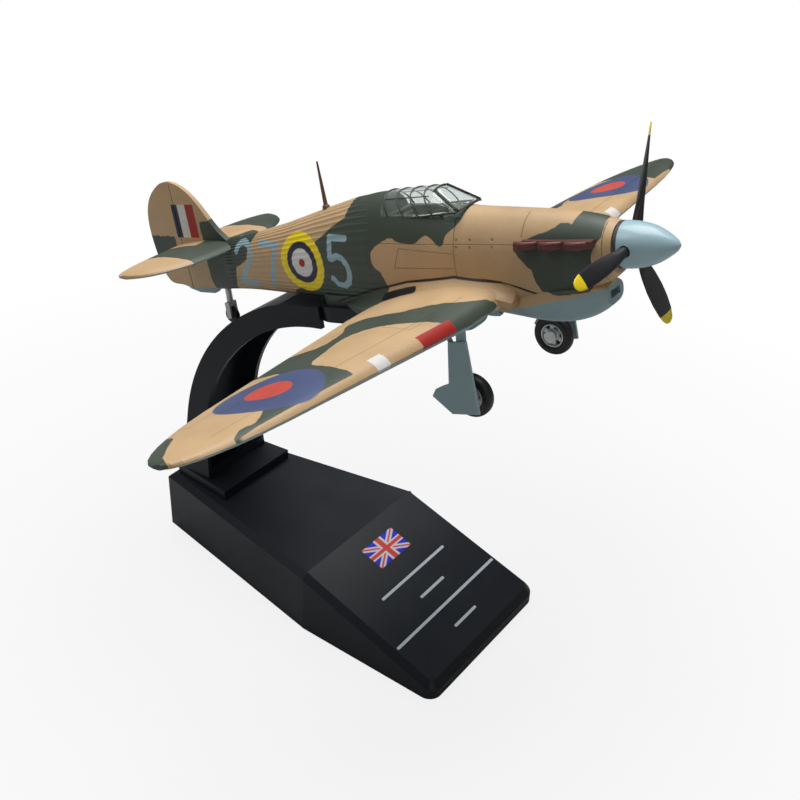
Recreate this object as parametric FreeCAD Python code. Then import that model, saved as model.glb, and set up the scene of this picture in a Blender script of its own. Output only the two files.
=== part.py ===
import FreeCAD, Part
import math
import os
from functools import lru_cache

from FreeCAD import Rotation, Vector

# Desk model of a single seat fighter of the nineteen forties, on a display stand.
# Lengths are millimetres and angles are degrees.
# The stand frame has +X to the nose, +Y to the port wing and +Z up, with z = 0 on the table.
# The aircraft is drawn in its own frame: x = 0 at the spinner tip and negative towards the tail,
# y to port and z up from the propeller axis. It is then set down nose up on the stand.

# Placing of the aircraft over the stand
SPINNER_TIP_X = 66.4
SPINNER_TIP_Z = 110.4
NOSE_UP = 15.0

# Clearances
RUNNING_FIT = 0.05
LOOSE_GAP = 0.3

# Propeller group
PROP_X = -8.7
PROP_RADIUS = 21.9
BLADE_COUNT = 3
FIRST_BLADE_LEAN = 29.5
BLADE_CHORD = 4.3
BLADE_THICKNESS = 0.9
BLADE_ROOT_PITCH = 52.0
BLADE_TIP_PITCH = 24.0
BLADE_CUFF_RADIUS = 0.95
BLADE_START = 4.3
HUB_RADIUS = 2.3
SPINNER_RADIUS = 4.25
SPINNER_LENGTH = 10.2
SPINNER_WALL = 0.7
BACKPLATE_THICKNESS = 0.6
SHAFT_RADIUS = 1.0
SHAFT_HUB_DEPTH = 2.4
BUSH_RADIUS = 2.1
BUSH_LENGTH = 4.0
COLLAR_RADIUS = 1.8
COLLAR_LENGTH = 1.2
NOSE_POCKET_LENGTH = 4.0

# Fuselage lines: station x, half width, top, bottom and height of the widest point
COWL_FRONT = -(SPINNER_LENGTH + BACKPLATE_THICKNESS + LOOSE_GAP)
TAIL_JOINT = -116.4
FUSELAGE_LINES = [
    (COWL_FRONT, 4.4, 4.2, -4.8, -0.1),
    (-15.0, 4.9, 5.3, -7.4, -0.6),
    (-21.0, 5.5, 6.1, -9.1, -1.2),
    (-28.0, 5.9, 6.5, -10.7, -1.8),
    (-36.0, 6.2, 6.8, -12.1, -2.3),
    (-43.0, 6.5, 7.3, -12.8, -2.8),
    (-52.0, 6.8, 9.0, -13.0, -3.0),
    (-60.5, 6.7, 10.1, -13.0, -3.2),
    (-69.5, 6.2, 8.7, -13.0, -3.4),
    (-79.0, 5.4, 6.3, -13.0, -3.8),
    (-90.0, 4.5, 3.3, -12.7, -4.4),
    (-102.0, 3.4, 0.6, -12.3, -5.2),
    (-110.0, 2.6, -0.7, -12.5, -5.8),
    (TAIL_JOINT, 2.0, -1.6, -12.9, -6.4),
]
CROWN_ROUNDNESS = 2.0
BELLY_ROUNDNESS = 2.7
RING_POINTS = 20

# Joint line between the fuselage casting and the wing casting, seen from the side
SEAM_LINE = [(-24.3, -9.4), (-31.8, -6.2), (-43.5, -5.0), (-55.1, -6.4), (-65.7, -9.0), (-76.0, -12.3), (-79.5, -14.0)]

# Wing
WING_SPAN = 169.3
SPLICE_Y = 18.0
WING_LE_X = -33.0
WING_TE_X = -62.6
WING_LE_Z = -9.2
WING_TE_Z = -11.0
WING_LE_SWEEP = 0.035
WING_TE_SWEEP = 0.172
DIHEDRAL_SLOPE = 0.054
WING_ROOT_DEPTH = 5.6
WING_TIP_DEPTH = 1.9
WING_CAMBER = 0.02
TIP_START_Y = 64.0
TIP_CENTRE_X = -42.5
TIP_ROUNDNESS = 2.3
EDGE_THICKNESS = 0.35
AIRFOIL_POINTS = 9

# Wing root fillet: station x, height at the joint, half width there, outer half width and height
FILLET_LINES = [
    (-31.0, -7.4, 5.6, 7.4, -9.4),
    (-38.0, -5.2, 6.3, 10.5, -7.0),
    (-46.0, -4.9, 6.6, 11.8, -7.0),
    (-55.0, -6.3, 6.6, 12.2, -8.9),
    (-62.6, -8.2, 6.1, 11.4, -10.9),
    (-70.0, -10.4, 4.8, 7.6, -12.0),
    (-78.0, -12.6, 1.4, 2.8, -12.8),
]
FILLET_DEPTH = 1.2

# Chin and radiator
CHIN_LINES = [
    (-13.3, 3.2, -6.6, -10.9, -8.8),
    (-15.5, 4.0, -6.2, -12.5, -9.0),
    (-21.0, 4.9, -6.0, -14.4, -9.4),
    (-26.0, 5.2, -6.2, -14.6, -9.8),
    (-32.0, 4.9, -8.0, -13.9, -10.6),
    (-38.0, 3.6, -10.4, -13.1, -11.8),
]
INTAKE_WIDTH = 3.6
INTAKE_HEIGHT = 1.4
INTAKE_DEPTH = 2.2
INTAKE_Z = -9.6
RADIATOR_LINES = [
    (-44.5, 4.0, -12.4, -17.6, -14.9),
    (-48.0, 4.4, -12.2, -18.0, -14.9),
    (-55.0, 4.2, -12.2, -17.0, -14.5),
    (-60.5, 3.4, -12.2, -15.0, -13.6),
]
RADIATOR_WALL = 0.8
RADIATOR_MOUTH_DEPTH = 3.0
BELLY_Z = -13.0

# Cockpit and canopy
SILL_Z = 6.3
NOTCH_REAR = -60.2
NOTCH_FRONT = -45.0
COCKPIT_REAR = -58.6
COCKPIT_FRONT = -46.0
COCKPIT_HALF_WIDTH = 3.7
COCKPIT_FLOOR = -5.0
TUB_WALL = 0.5
CANOPY_HALF_WIDTH = 4.6
CANOPY_REAR_TOP = 10.2
CANOPY_FRONT_TOP = 10.9
CANOPY_ROUNDNESS = 2.3
GLASS_THICKNESS = 0.6
FRAME_HEIGHT = 0.25
FRAME_WIDTH = 0.7
ARCH_X = -47.7
HOOP_STATIONS = [-59.5, -56.6, -53.3, -49.9]
SCREEN_FOOT_X = -41.6
SCREEN_FOOT_Z = 7.2
SCREEN_PANE_HALF_WIDTH = 2.4
SCREEN_CORNER_X = -45.6
MID_RAIL_Z = 9.1

# Exhausts
EXHAUST_FRONT = -13.4
EXHAUST_REAR = -28.6
EXHAUST_Z = 1.6
EXHAUST_HEIGHT = 1.7
EXHAUST_STACKS = 3

# Tail
FIN_THICKNESS = 1.6
FIN_TIP_THICKNESS = 0.8
HINGE_X = -125.6
HINGE_GAP = 0.25
KEEL_Z = -13.9
TAILPLANE_SPAN = 47.4
TAILPLANE_LE_X = -107.6
TAILPLANE_TE_X = -126.4
TAILPLANE_Z = -2.2
TAILPLANE_DEPTH = 1.9
TAILPLANE_TIP_X = -120.6

# Main undercarriage
WHEEL_X = -37.0
WHEEL_Y = 15.6
WHEEL_Z = -25.0
TYRE_RADIUS = 5.4
TYRE_WIDTH = 2.8
HUB_RIM_RADIUS = 3.1
AXLE_RADIUS = 0.8
AXLE_HEAD_RADIUS = 1.3
AXLE_HEAD_LENGTH = 0.5
LEG_Y = 17.9
LEG_RADIUS = 0.75
LEG_TOP_X = -35.6
SLEEVE_RADIUS = 0.95
DOOR_THICKNESS = 0.5
WELL_RADIUS = 5.7
WELL_DEPTH = 1.4
WELL_Y = 9.6

# Tail wheel
TAIL_WHEEL_X = -115.1
TAIL_WHEEL_Z = -19.4
TAIL_WHEEL_RADIUS = 2.1
TAIL_WHEEL_WIDTH = 1.3
TAIL_AXLE_RADIUS = 0.4
TYRE_ROUNDNESS = 0.75
FORK_THICKNESS = 0.5

# Small fittings
MAST_X = -78.5
MAST_TOP_Z = 16.5
MAST_RADIUS = 0.55
PITOT_X = -38.5
PITOT_Y = 40.0

# Stand
BASE_REAR_X = -53.8
BASE_CREASE_X = -0.3
BASE_FRONT_X = 37.2
BASE_REAR_HALF = 12.1
BASE_CREASE_HALF = 21.6
BASE_FRONT_HALF = 22.1
BASE_HEIGHT = 16.4
BASE_FRONT_HEIGHT = 3.9
BASE_CHAMFER = 1.5
BASE_CORNER_RADIUS = 3.0
BASE_WALL = 1.8
PLINTH_REAR_X = -51.6
PLINTH_FRONT_X = -33.8
PLINTH_REAR_HALF = 10.2
PLINTH_FRONT_HALF = 12.0
PLINTH_HEIGHT = 2.6
ARM_REAR_X = -49.6
ARM_LEAN = 84.0
ARM_STRAIGHT = 17.0
ARM_FOOT_DEPTH = 9.0
ARM_DEPTH = 6.2
ARM_END_DEPTH = 4.9
ARM_FOOT_WIDTH = 21.0
ARM_MID_WIDTH = 18.6
ARM_END_WIDTH = 12.4
ARM_WEB = 1.3
ARM_FLANGE = 1.2
ARM_FOOT_THICKNESS = 2.4
ARM_END_OVERLAP = 3.2
SCREW_RADIUS = 1.3
SCREW_HEAD_RADIUS = 2.4
SCREW_HEAD_LENGTH = 1.5
SCREW_SPACING = 11.0
BOSS_RADIUS = 3.0

# Cradle that carries the belly
CRADLE_REAR = -84.0
CRADLE_LENGTH = 20.0
CRADLE_WIDTH = 12.6
CRADLE_HEIGHT = 3.4
CRADLE_RIM = 1.2
CRADLE_RECESS = 1.5
TONGUE_LENGTH = 6.0
TONGUE_THICKNESS = 1.6
PEG_RADIUS = 2.0
PEG_LENGTH = 6.0

PORT = 1
STARBOARD = -1


# Helpers


def signed_power(value, power):
    """Power of a number that keeps its sign, for squared circles."""
    return math.copysign(abs(value) ** power, value)


def ring(x, half_width, top, bottom, waist, crown=CROWN_ROUNDNESS, belly=BELLY_ROUNDNESS):
    """Closed squared circle across the aircraft at station x."""
    points = []
    for index in range(RING_POINTS):
        angle = 2 * math.pi * index / RING_POINTS
        above = math.sin(angle) >= 0
        power = 2 / (crown if above else belly)
        reach = (top - waist) if above else (waist - bottom)
        y = half_width * signed_power(math.cos(angle), power)
        z = waist + reach * signed_power(math.sin(angle), power)
        points.append(Vector(x, y, z))
    curve = Part.BSplineCurve()
    curve.interpolate(Points=points, PeriodicFlag=True)
    return Part.Wire([curve.toShape()])


def loft(wires, ruled=False):
    return Part.makeLoft(wires, True, ruled)


def smooth_edge(points):
    curve = Part.BSplineCurve()
    curve.interpolate(points)
    return curve.toShape()


def polygon(points):
    return Part.makePolygon(points + [points[0]])


def prism(outline, direction):
    """Solid swept straight along a vector from a closed flat outline."""
    return Part.Face(outline).extrude(direction)


def side_prism(outline_points, half_width, offset=0.0):
    """Solid of a side view outline, as wide as two half widths."""
    start = offset - half_width
    outline = polygon([Vector(x, start, z) for x, z in outline_points])
    return prism(outline, Vector(0, 2 * half_width, 0))


def box(x_low, x_high, y_low, y_high, z_low, z_high):
    return Part.makeBox(x_high - x_low, y_high - y_low, z_high - z_low, Vector(x_low, y_low, z_low))


def rod(start, end, radius):
    axis = end - start
    return Part.makeCylinder(radius, axis.Length, start, axis)


def disc(centre_x, y_low, y_high, centre_z, radius):
    return Part.makeCylinder(radius, y_high - y_low, Vector(centre_x, y_low, centre_z), Vector(0, 1, 0))


def mirrored(shape):
    return shape.mirror(Vector(0, 0, 0), Vector(0, 1, 0))


def on_side(shape, side):
    """The shape is drawn for the port side and mirrored for starboard."""
    return shape if side == PORT else mirrored(shape)


def stadium(x_rear, x_front, width, z_low, height):
    """Upright slab with two round ends, its length along x."""
    radius = width / 2
    rear = Part.makeCylinder(radius, height, Vector(x_rear + radius, 0, z_low))
    front = Part.makeCylinder(radius, height, Vector(x_front - radius, 0, z_low))
    middle = box(x_rear + radius, x_front - radius, -radius, radius, z_low, z_low + height)
    return rear.fuse([middle, front]).removeSplitter()


def half_space(point, normal, size=60.0):
    """Large block that lies behind a plane."""
    block = Part.makeBox(2 * size, 2 * size, size, Vector(-size, -size, -size))
    block.Placement = FreeCAD.Placement(point, Rotation(Vector(0, 0, 1), normal))
    return block


def to_stand(shape):
    """Sets a shape from the aircraft frame down in the stand frame."""
    placed = shape.copy()
    turn = Rotation(Vector(0, 1, 0), -NOSE_UP)
    placed.Placement = FreeCAD.Placement(Vector(SPINNER_TIP_X, 0, SPINNER_TIP_Z), turn).multiply(placed.Placement)
    return placed


def stand_point(x, z):
    """Stand frame point of a point on the aircraft's middle plane."""
    turn = Rotation(Vector(0, 1, 0), -NOSE_UP)
    return turn.multVec(Vector(x, 0, z)) + Vector(SPINNER_TIP_X, 0, SPINNER_TIP_Z)


# Propeller group


def spinner_profile(radius, length):
    """Half outline of the pointed nose cone, from the tip to the rear rim."""
    shares = [(0.0, 0.0), (0.04, 0.17), (0.17, 0.43), (0.38, 0.72), (0.66, 0.93), (1.0, 1.0)]
    return [Vector(-length * along, 0, radius * out) for along, out in shares]


def cone_solid(radius, length, rear_x, front_x=0.0):
    points = [point + Vector(front_x, 0, 0) for point in spinner_profile(radius, length)]
    outline = [smooth_edge(points)]
    outline.append(Part.makeLine(points[-1], Vector(rear_x, 0, radius)) if rear_x < points[-1].x else None)
    outline = [edge for edge in outline if edge]
    outline.append(Part.makeLine(Vector(rear_x, 0, radius), Vector(rear_x, 0, 0)))
    outline.append(Part.makeLine(Vector(rear_x, 0, 0), points[0]))
    face = Part.Face(Part.Wire(outline))
    return face.revolve(Vector(0, 0, 0), Vector(1, 0, 0), 360)


def blade_angles():
    return [-FIRST_BLADE_LEAN + 360.0 * index / BLADE_COUNT for index in range(BLADE_COUNT)]


def around_shaft(shape, angle):
    turned = shape.copy()
    turned.rotate(Vector(0, 0, 0), Vector(1, 0, 0), angle)
    return turned


def spinner():
    shell = cone_solid(SPINNER_RADIUS, SPINNER_LENGTH, -SPINNER_LENGTH)
    inner_length = SPINNER_LENGTH - 2 * SPINNER_WALL
    hollow = cone_solid(SPINNER_RADIUS - SPINNER_WALL, inner_length, -SPINNER_LENGTH, -2 * SPINNER_WALL)
    shell = shell.cut(hollow)
    hole = rod(Vector(PROP_X, 0, 0), Vector(PROP_X, 0, 2 * SPINNER_RADIUS), BLADE_CUFF_RADIUS + 0.15)
    return shell.cut([around_shaft(hole, angle) for angle in blade_angles()])


def blade_ring(radius, chord, thickness, pitch):
    """Lens shaped blade section at a distance from the shaft."""
    turn = math.radians(pitch)
    along = Vector(math.sin(turn), -math.cos(turn), 0)
    across = Vector(math.cos(turn), math.sin(turn), 0)
    points = []
    for index in range(10):
        angle = 2 * math.pi * index / 10
        offset = along * (chord / 2 * math.cos(angle)) + across * (thickness / 2 * math.sin(angle))
        points.append(Vector(PROP_X, 0, radius) + offset)
    curve = Part.BSplineCurve()
    curve.interpolate(Points=points, PeriodicFlag=True)
    return Part.Wire([curve.toShape()])


def blade():
    """One twisted blade that points straight up."""
    reach = PROP_RADIUS - BLADE_START
    stations = [(0.0, 0.44, 1.9), (0.2, 0.72, 1.25), (0.45, 0.97, 0.9), (0.68, 0.98, 0.7), (0.88, 0.7, 0.5), (1.0, 0.22, 0.3)]
    rings = []
    for share, width, depth in stations:
        pitch = BLADE_ROOT_PITCH + (BLADE_TIP_PITCH - BLADE_ROOT_PITCH) * share
        rings.append(blade_ring(BLADE_START + reach * share, BLADE_CHORD * width, BLADE_THICKNESS * depth, pitch))
    cuff = rod(Vector(PROP_X, 0, 0), Vector(PROP_X, 0, BLADE_START + 0.6), BLADE_CUFF_RADIUS)
    return loft(rings).fuse(cuff)


def propeller_blades():
    """Blades and hub as one moulding, bored for the shaft."""
    hub = rod(Vector(-SPINNER_LENGTH, 0, 0), Vector(PROP_X + HUB_RADIUS * 0.8, 0, 0), HUB_RADIUS)
    hub = hub.fuse([around_shaft(blade(), angle) for angle in blade_angles()])
    return hub.cut(shaft_rod())


def shaft_front():
    return -SPINNER_LENGTH + SHAFT_HUB_DEPTH


def bush_rear():
    return COWL_FRONT - BUSH_LENGTH


def shaft_rear():
    return bush_rear() - LOOSE_GAP - COLLAR_LENGTH


def shaft_rod(extra=0.0):
    return rod(Vector(shaft_rear(), 0, 0), Vector(shaft_front(), 0, 0), SHAFT_RADIUS + extra)


def spinner_backplate():
    plate = rod(Vector(-SPINNER_LENGTH - BACKPLATE_THICKNESS, 0, 0), Vector(-SPINNER_LENGTH, 0, 0), SPINNER_RADIUS)
    return plate.cut(shaft_rod())


def propeller_shaft():
    return shaft_rod()


def shaft_collar():
    """Pressed ring that keeps the shaft from sliding out of the nose."""
    ring_solid = rod(Vector(shaft_rear(), 0, 0), Vector(bush_rear() - LOOSE_GAP, 0, 0), COLLAR_RADIUS)
    return ring_solid.cut(shaft_rod())


def bush_blank():
    return rod(Vector(bush_rear(), 0, 0), Vector(COWL_FRONT, 0, 0), BUSH_RADIUS)


def nose_bush():
    return bush_blank().cut(shaft_rod(RUNNING_FIT))


# Fuselage


@lru_cache
def fuselage_form():
    return loft([ring(*line) for line in FUSELAGE_LINES])


@lru_cache
def seam_block():
    """Everything below the joint line of the two castings."""
    width = WING_SPAN
    front, rear = SEAM_LINE[0], SEAM_LINE[-1]
    floor = 3 * BELLY_Z
    points = [Vector(x, -width / 2, z) for x, z in SEAM_LINE]
    edges = [smooth_edge(points)]
    edges.append(Part.makeLine(points[-1], Vector(rear[0], -width / 2, floor)))
    edges.append(Part.makeLine(Vector(rear[0], -width / 2, floor), Vector(front[0], -width / 2, floor)))
    edges.append(Part.makeLine(Vector(front[0], -width / 2, floor), points[0]))
    return prism(Part.Wire(edges), Vector(0, width, 0))


def cockpit_space(inset=0.0):
    return box(
        COCKPIT_REAR + inset,
        COCKPIT_FRONT - inset,
        -COCKPIT_HALF_WIDTH + inset,
        COCKPIT_HALF_WIDTH - inset,
        COCKPIT_FLOOR + inset,
        SILL_Z,
    )


@lru_cache
def fuselage_casting():
    body = fuselage_form().cut(seam_block())
    notch = box(NOTCH_REAR, NOTCH_FRONT, -2 * CANOPY_HALF_WIDTH, 2 * CANOPY_HALF_WIDTH, SILL_Z, 3 * SILL_Z)
    pocket = rod(Vector(bush_rear() - NOSE_POCKET_LENGTH, 0, 0), Vector(bush_rear(), 0, 0), BUSH_RADIUS)
    return body.cut([notch, cockpit_space(), bush_blank(), pocket, mast_blank(), peg_rod(RUNNING_FIT)])


# Wing casting


def airfoil(y, x_le, x_te, z_le, z_te, depth):
    """Closed wing section: cambered skin above and below and a blunt trailing edge."""
    upper, lower = [], []
    chord = x_le - x_te
    for index in range(AIRFOIL_POINTS):
        share = 0.5 - 0.5 * math.cos(math.pi * index / (AIRFOIL_POINTS - 1))
        series = 1.4845 * math.sqrt(share) - 0.63 * share - 1.758 * share ** 2 + 1.4215 * share ** 3
        half = depth * (series - 0.518 * share ** 4) + EDGE_THICKNESS / 2 * share
        middle = z_le + (z_te - z_le) * share + 4 * WING_CAMBER * chord * share * (1 - share)
        upper.append(Vector(x_le - chord * share, y, middle + half))
        lower.append(Vector(x_le - chord * share, y, middle - half))
    edges = [smooth_edge(upper[::-1]), smooth_edge(lower), Part.makeLine(lower[-1], upper[-1])]
    return Part.Wire(edges)


def wing_lines(y):
    """Leading edge x, trailing edge x, their heights and the depth at a span station."""
    out = max(0.0, y - SPLICE_Y)
    x_le = WING_LE_X - WING_LE_SWEEP * out
    x_te = WING_TE_X + WING_TE_SWEEP * out
    z_le = WING_LE_Z + DIHEDRAL_SLOPE * out
    z_te = WING_TE_Z + DIHEDRAL_SLOPE * out
    reach = WING_SPAN / 2 - SPLICE_Y
    depth = WING_ROOT_DEPTH + (WING_TIP_DEPTH - WING_ROOT_DEPTH) * out / reach
    tip_share = max(0.0, (y - TIP_START_Y) / (WING_SPAN / 2 - TIP_START_Y))
    keep = (1 - min(tip_share, 1.0) ** TIP_ROUNDNESS) ** (1 / TIP_ROUNDNESS)
    z_mid = z_le + (z_te - z_le) * 0.4
    x_le = TIP_CENTRE_X + (x_le - TIP_CENTRE_X) * keep
    x_te = TIP_CENTRE_X + (x_te - TIP_CENTRE_X) * keep
    return x_le, x_te, z_mid + (z_le - z_mid) * keep, z_mid + (z_te - z_mid) * keep, depth * (0.35 + 0.65 * keep)


def wing_panel():
    """Port outer panel from the splice to the rounded tip."""
    tip = WING_SPAN / 2 - TIP_START_Y
    stations = [SPLICE_Y, TIP_START_Y]
    stations += [TIP_START_Y + tip * share for share in (0.3, 0.5, 0.67, 0.8, 0.9, 0.96, 0.995)]
    return loft([airfoil(y, *wing_lines(y)) for y in stations], ruled=True)


def centre_section():
    section = airfoil(-SPLICE_Y, *wing_lines(SPLICE_Y))
    return prism(section, Vector(0, 2 * SPLICE_Y, 0))


def fillet_ring(x, joint_z, joint_half, outer_half, outer_z):
    """Section across the hollow curve between fuselage side and wing skin."""
    floor = max(outer_z - FILLET_DEPTH, BELLY_Z)
    arcs = []
    for side in (PORT, STARBOARD):
        top = Vector(x, side * joint_half, joint_z)
        foot = Vector(x, side * outer_half, outer_z)
        corner = Vector(x, side * joint_half, outer_z)
        middle = (top + foot) * 0.27 + corner * 0.46
        arcs.append((top, middle, foot))
    port, starboard = arcs
    edges = [Part.makeLine(starboard[0], port[0])]
    edges.append(Part.Arc(*port).toShape())
    edges.append(Part.makeLine(port[2], Vector(x, outer_half, floor)))
    edges.append(Part.makeLine(Vector(x, outer_half, floor), Vector(x, -outer_half, floor)))
    edges.append(Part.makeLine(Vector(x, -outer_half, floor), starboard[2]))
    edges.append(Part.Arc(starboard[2], starboard[1], starboard[0]).toShape())
    return Part.Wire(edges)


def wheel_well(side):
    """Shallow round recess under the wing where the real wheel would fold away."""
    well = Part.makeCylinder(WELL_RADIUS, WELL_DEPTH + 4, Vector(WHEEL_X - 0.5, WELL_Y, BELLY_Z - 4 + 0.9))
    slot = box(WHEEL_X - 1.0, WHEEL_X + 2.4, WELL_Y, LEG_Y + 0.9, BELLY_Z - 3, BELLY_Z + 0.9 + WELL_DEPTH)
    return on_side(well.fuse(slot), side)


@lru_cache
def wing_form():
    panel = wing_panel()
    fillet = loft([fillet_ring(*line) for line in FILLET_LINES])
    return centre_section().fuse([panel, mirrored(panel), fillet])


def wing_casting():
    """Both wings, root fillets and belly, cut to the joint line."""
    form = fuselage_form()
    belly = form.common(seam_block())
    upper = form.cut(seam_block())
    casting = wing_form().fuse([belly, belly_pad()]).cut(upper)
    casting = casting.cut([wheel_well(PORT), wheel_well(STARBOARD), peg_rod(RUNNING_FIT)])
    return casting


@lru_cache
def chin_form():
    return loft([ring(*line) for line in CHIN_LINES])


def chin_cowl():
    """Lower nose fairing with the air scoop."""
    intake = box(CHIN_LINES[0][0] - INTAKE_DEPTH, CHIN_LINES[0][0] + 1, -INTAKE_WIDTH / 2, INTAKE_WIDTH / 2, INTAKE_Z, INTAKE_Z + INTAKE_HEIGHT)
    return chin_form().cut([fuselage_form(), wing_form(), intake])


def radiator_fairing():
    """Boxy tunnel under the belly, open at the front and the rear."""
    lines = [ring(*line, crown=5.0, belly=4.0) for line in RADIATOR_LINES]
    outer = loft(lines).cut([fuselage_form(), wing_form()])
    x, half, top, bottom, waist = RADIATOR_LINES[0]
    mouth = box(x - RADIATOR_MOUTH_DEPTH, x + 1, -half + RADIATOR_WALL, half - RADIATOR_WALL, bottom + RADIATOR_WALL, BELLY_Z - 0.6)
    return outer.cut(mouth)


def carburettor_intake():
    """Small scoop on the centre line between chin and radiator."""
    lines = [(-38.6, 1.5, -12.6, -15.0, -13.8), (-41.5, 1.5, -12.4, -14.9, -13.7), (-44.3, 0.9, -12.4, -13.9, -13.2)]
    outer = loft([ring(*line, crown=3.0, belly=2.4) for line in lines])
    mouth = rod(Vector(-38.0, 0, -14.0), Vector(-40.0, 0, -14.0), 0.6)
    return outer.cut([fuselage_form(), wing_form(), chin_form(), mouth])


# Cockpit and canopy


def cockpit_tub():
    shell = cockpit_space(RUNNING_FIT)
    hollow = cockpit_space(TUB_WALL + RUNNING_FIT)
    hollow = hollow.fuse(hollow.translated(Vector(0, 0, TUB_WALL)))
    return shell.cut(hollow)


def tub_floor():
    return COCKPIT_FLOOR + RUNNING_FIT + TUB_WALL


def pilot_seat():
    """Bucket seat on a box pedestal, with side wings and a headrest plate behind it."""
    floor = tub_floor()
    x = COCKPIT_REAR + 1.4
    pan = box(x, x + 4.4, -2.1, 2.1, floor + 3.2, floor + 3.8)
    wings = box(x, x + 3.6, -2.1, 2.1, floor + 3.8, floor + 5.4).cut(box(x, x + 5, -1.6, 1.6, floor + 3.8, floor + 6))
    back = side_prism([(x, floor + 3.2), (x + 0.6, floor + 3.2), (x + 0.1, floor + 10.2), (x - 0.5, floor + 10.2)], 2.1)
    back = back.makeFillet(0.25, back.Edges)
    pedestal = box(x + 1.0, x + 3.4, -1.4, 1.4, floor, floor + 3.2)
    return pan.fuse([wings, back, pedestal])


def control_column():
    """Stick with a ring grip in front of the seat."""
    floor = tub_floor()
    x = COCKPIT_FRONT - 4.6
    top = floor + 6.2
    stick = rod(Vector(x, 0, floor), Vector(x, 0, top), 0.3)
    grip = Part.makeTorus(0.8, 0.25, Vector(x, 0, top + 0.8), Vector(1, 0, 0))
    return stick.fuse(grip)


def instrument_panel():
    """Upright panel with raised dial rims and a gunsight block on top."""
    floor = tub_floor()
    inner = COCKPIT_HALF_WIDTH - RUNNING_FIT - TUB_WALL
    front = COCKPIT_FRONT - RUNNING_FIT - TUB_WALL
    plate = box(front - 0.6, front, -inner, inner, floor + 4.0, SILL_Z - 0.4)
    dials = []
    for y, z in ((-1.7, 0.0), (0.0, 0.0), (1.7, 0.0), (-1.7, -1.7), (0.0, -1.7), (1.7, -1.7)):
        centre = Vector(front - 0.6, y, SILL_Z - 1.7 + z)
        outer = Part.makeCylinder(0.65, 0.2, centre, Vector(-1, 0, 0))
        dials.append(outer.cut(Part.makeCylinder(0.5, 0.2, centre, Vector(-1, 0, 0))))
    sight = box(front - 1.0, front - 0.1, -0.4, 0.4, SILL_Z - 0.4, SILL_Z + 1.2)
    return plate.fuse(dials + [sight])


def canopy_ring(x, top, grow):
    """Arch across the canopy, closed along its foot below the sill."""
    foot = SILL_Z - 1.2
    half = CANOPY_HALF_WIDTH + grow
    height = top + grow - foot
    points = []
    count = 13
    for index in range(count):
        angle = math.pi * index / (count - 1)
        y = half * signed_power(math.cos(angle), 2 / CANOPY_ROUNDNESS)
        z = foot + height * math.sin(angle) ** (2 / CANOPY_ROUNDNESS)
        points.append(Vector(x, y, z))
    return Part.Wire([smooth_edge(points), Part.makeLine(points[-1], points[0])])


def screen_planes(grow):
    """Flat front pane and two swept side panes of the windscreen."""
    foot = Vector(SCREEN_FOOT_X, 0, SCREEN_FOOT_Z)
    crown = Vector(ARCH_X, 0, CANOPY_FRONT_TOP)
    slope = crown - foot
    front_normal = Vector(slope.z, 0, -slope.x).normalize()
    blocks = [half_space(foot + front_normal * grow, front_normal)]
    for side in (PORT, STARBOARD):
        low = Vector(SCREEN_FOOT_X, side * SCREEN_PANE_HALF_WIDTH, SCREEN_FOOT_Z)
        high = Vector(ARCH_X, side * SCREEN_PANE_HALF_WIDTH, CANOPY_FRONT_TOP)
        corner = Vector(SCREEN_CORNER_X, side * CANOPY_HALF_WIDTH, SILL_Z)
        normal = (high - low).cross(corner - low).normalize()
        if normal.y * side < 0:
            normal = normal * -1
        blocks.append(half_space(low + normal * grow, normal))
    return blocks


def canopy_form(grow):
    rings = [canopy_ring(NOTCH_REAR, CANOPY_REAR_TOP, grow), canopy_ring(ARCH_X, CANOPY_FRONT_TOP, grow)]
    rings.append(canopy_ring(SCREEN_FOOT_X + 2, CANOPY_FRONT_TOP, grow))
    form = loft(rings, ruled=True)
    for block in screen_planes(grow):
        form = form.common(block)
    above_sill = box(NOTCH_REAR, SCREEN_FOOT_X + 2, -20, 20, SILL_Z, 20)
    return form.common(above_sill)


def canopy_bars():
    """Slabs that mark where the framing runs."""
    half = FRAME_WIDTH / 2
    slabs = [box(x - half, x + half, -9, 9, SILL_Z, 14) for x in HOOP_STATIONS + [ARCH_X]]
    slabs.append(box(NOTCH_REAR, SCREEN_FOOT_X + 2, -9, 9, SILL_Z, SILL_Z + FRAME_WIDTH))
    slabs.append(box(NOTCH_REAR, ARCH_X, -9, 9, MID_RAIL_Z - half * 0.7, MID_RAIL_Z + half * 0.7))
    pane = SCREEN_PANE_HALF_WIDTH
    for side in (PORT, STARBOARD):
        slabs.append(box(ARCH_X, SCREEN_FOOT_X + 2, side * pane - half, side * pane + half, SILL_Z, 14))
    slabs.append(box(SCREEN_FOOT_X - 1.3, SCREEN_FOOT_X + 2, -pane, pane, SILL_Z, 14))
    return slabs


def canopy_glazing():
    """Clear hood and windscreen as one thin moulding."""
    shell = canopy_form(0.0).cut(canopy_form(-GLASS_THICKNESS))
    return shell.cut(fuselage_casting())


def canopy_frame():
    """Raised framing bars on the outside of the glazing."""
    layer = canopy_form(FRAME_HEIGHT).cut(canopy_form(0.0))
    bars = canopy_bars()
    frame = layer.common(bars[0].fuse(bars[1:]))
    return frame.cut(fuselage_casting())


# Exhausts


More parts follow.
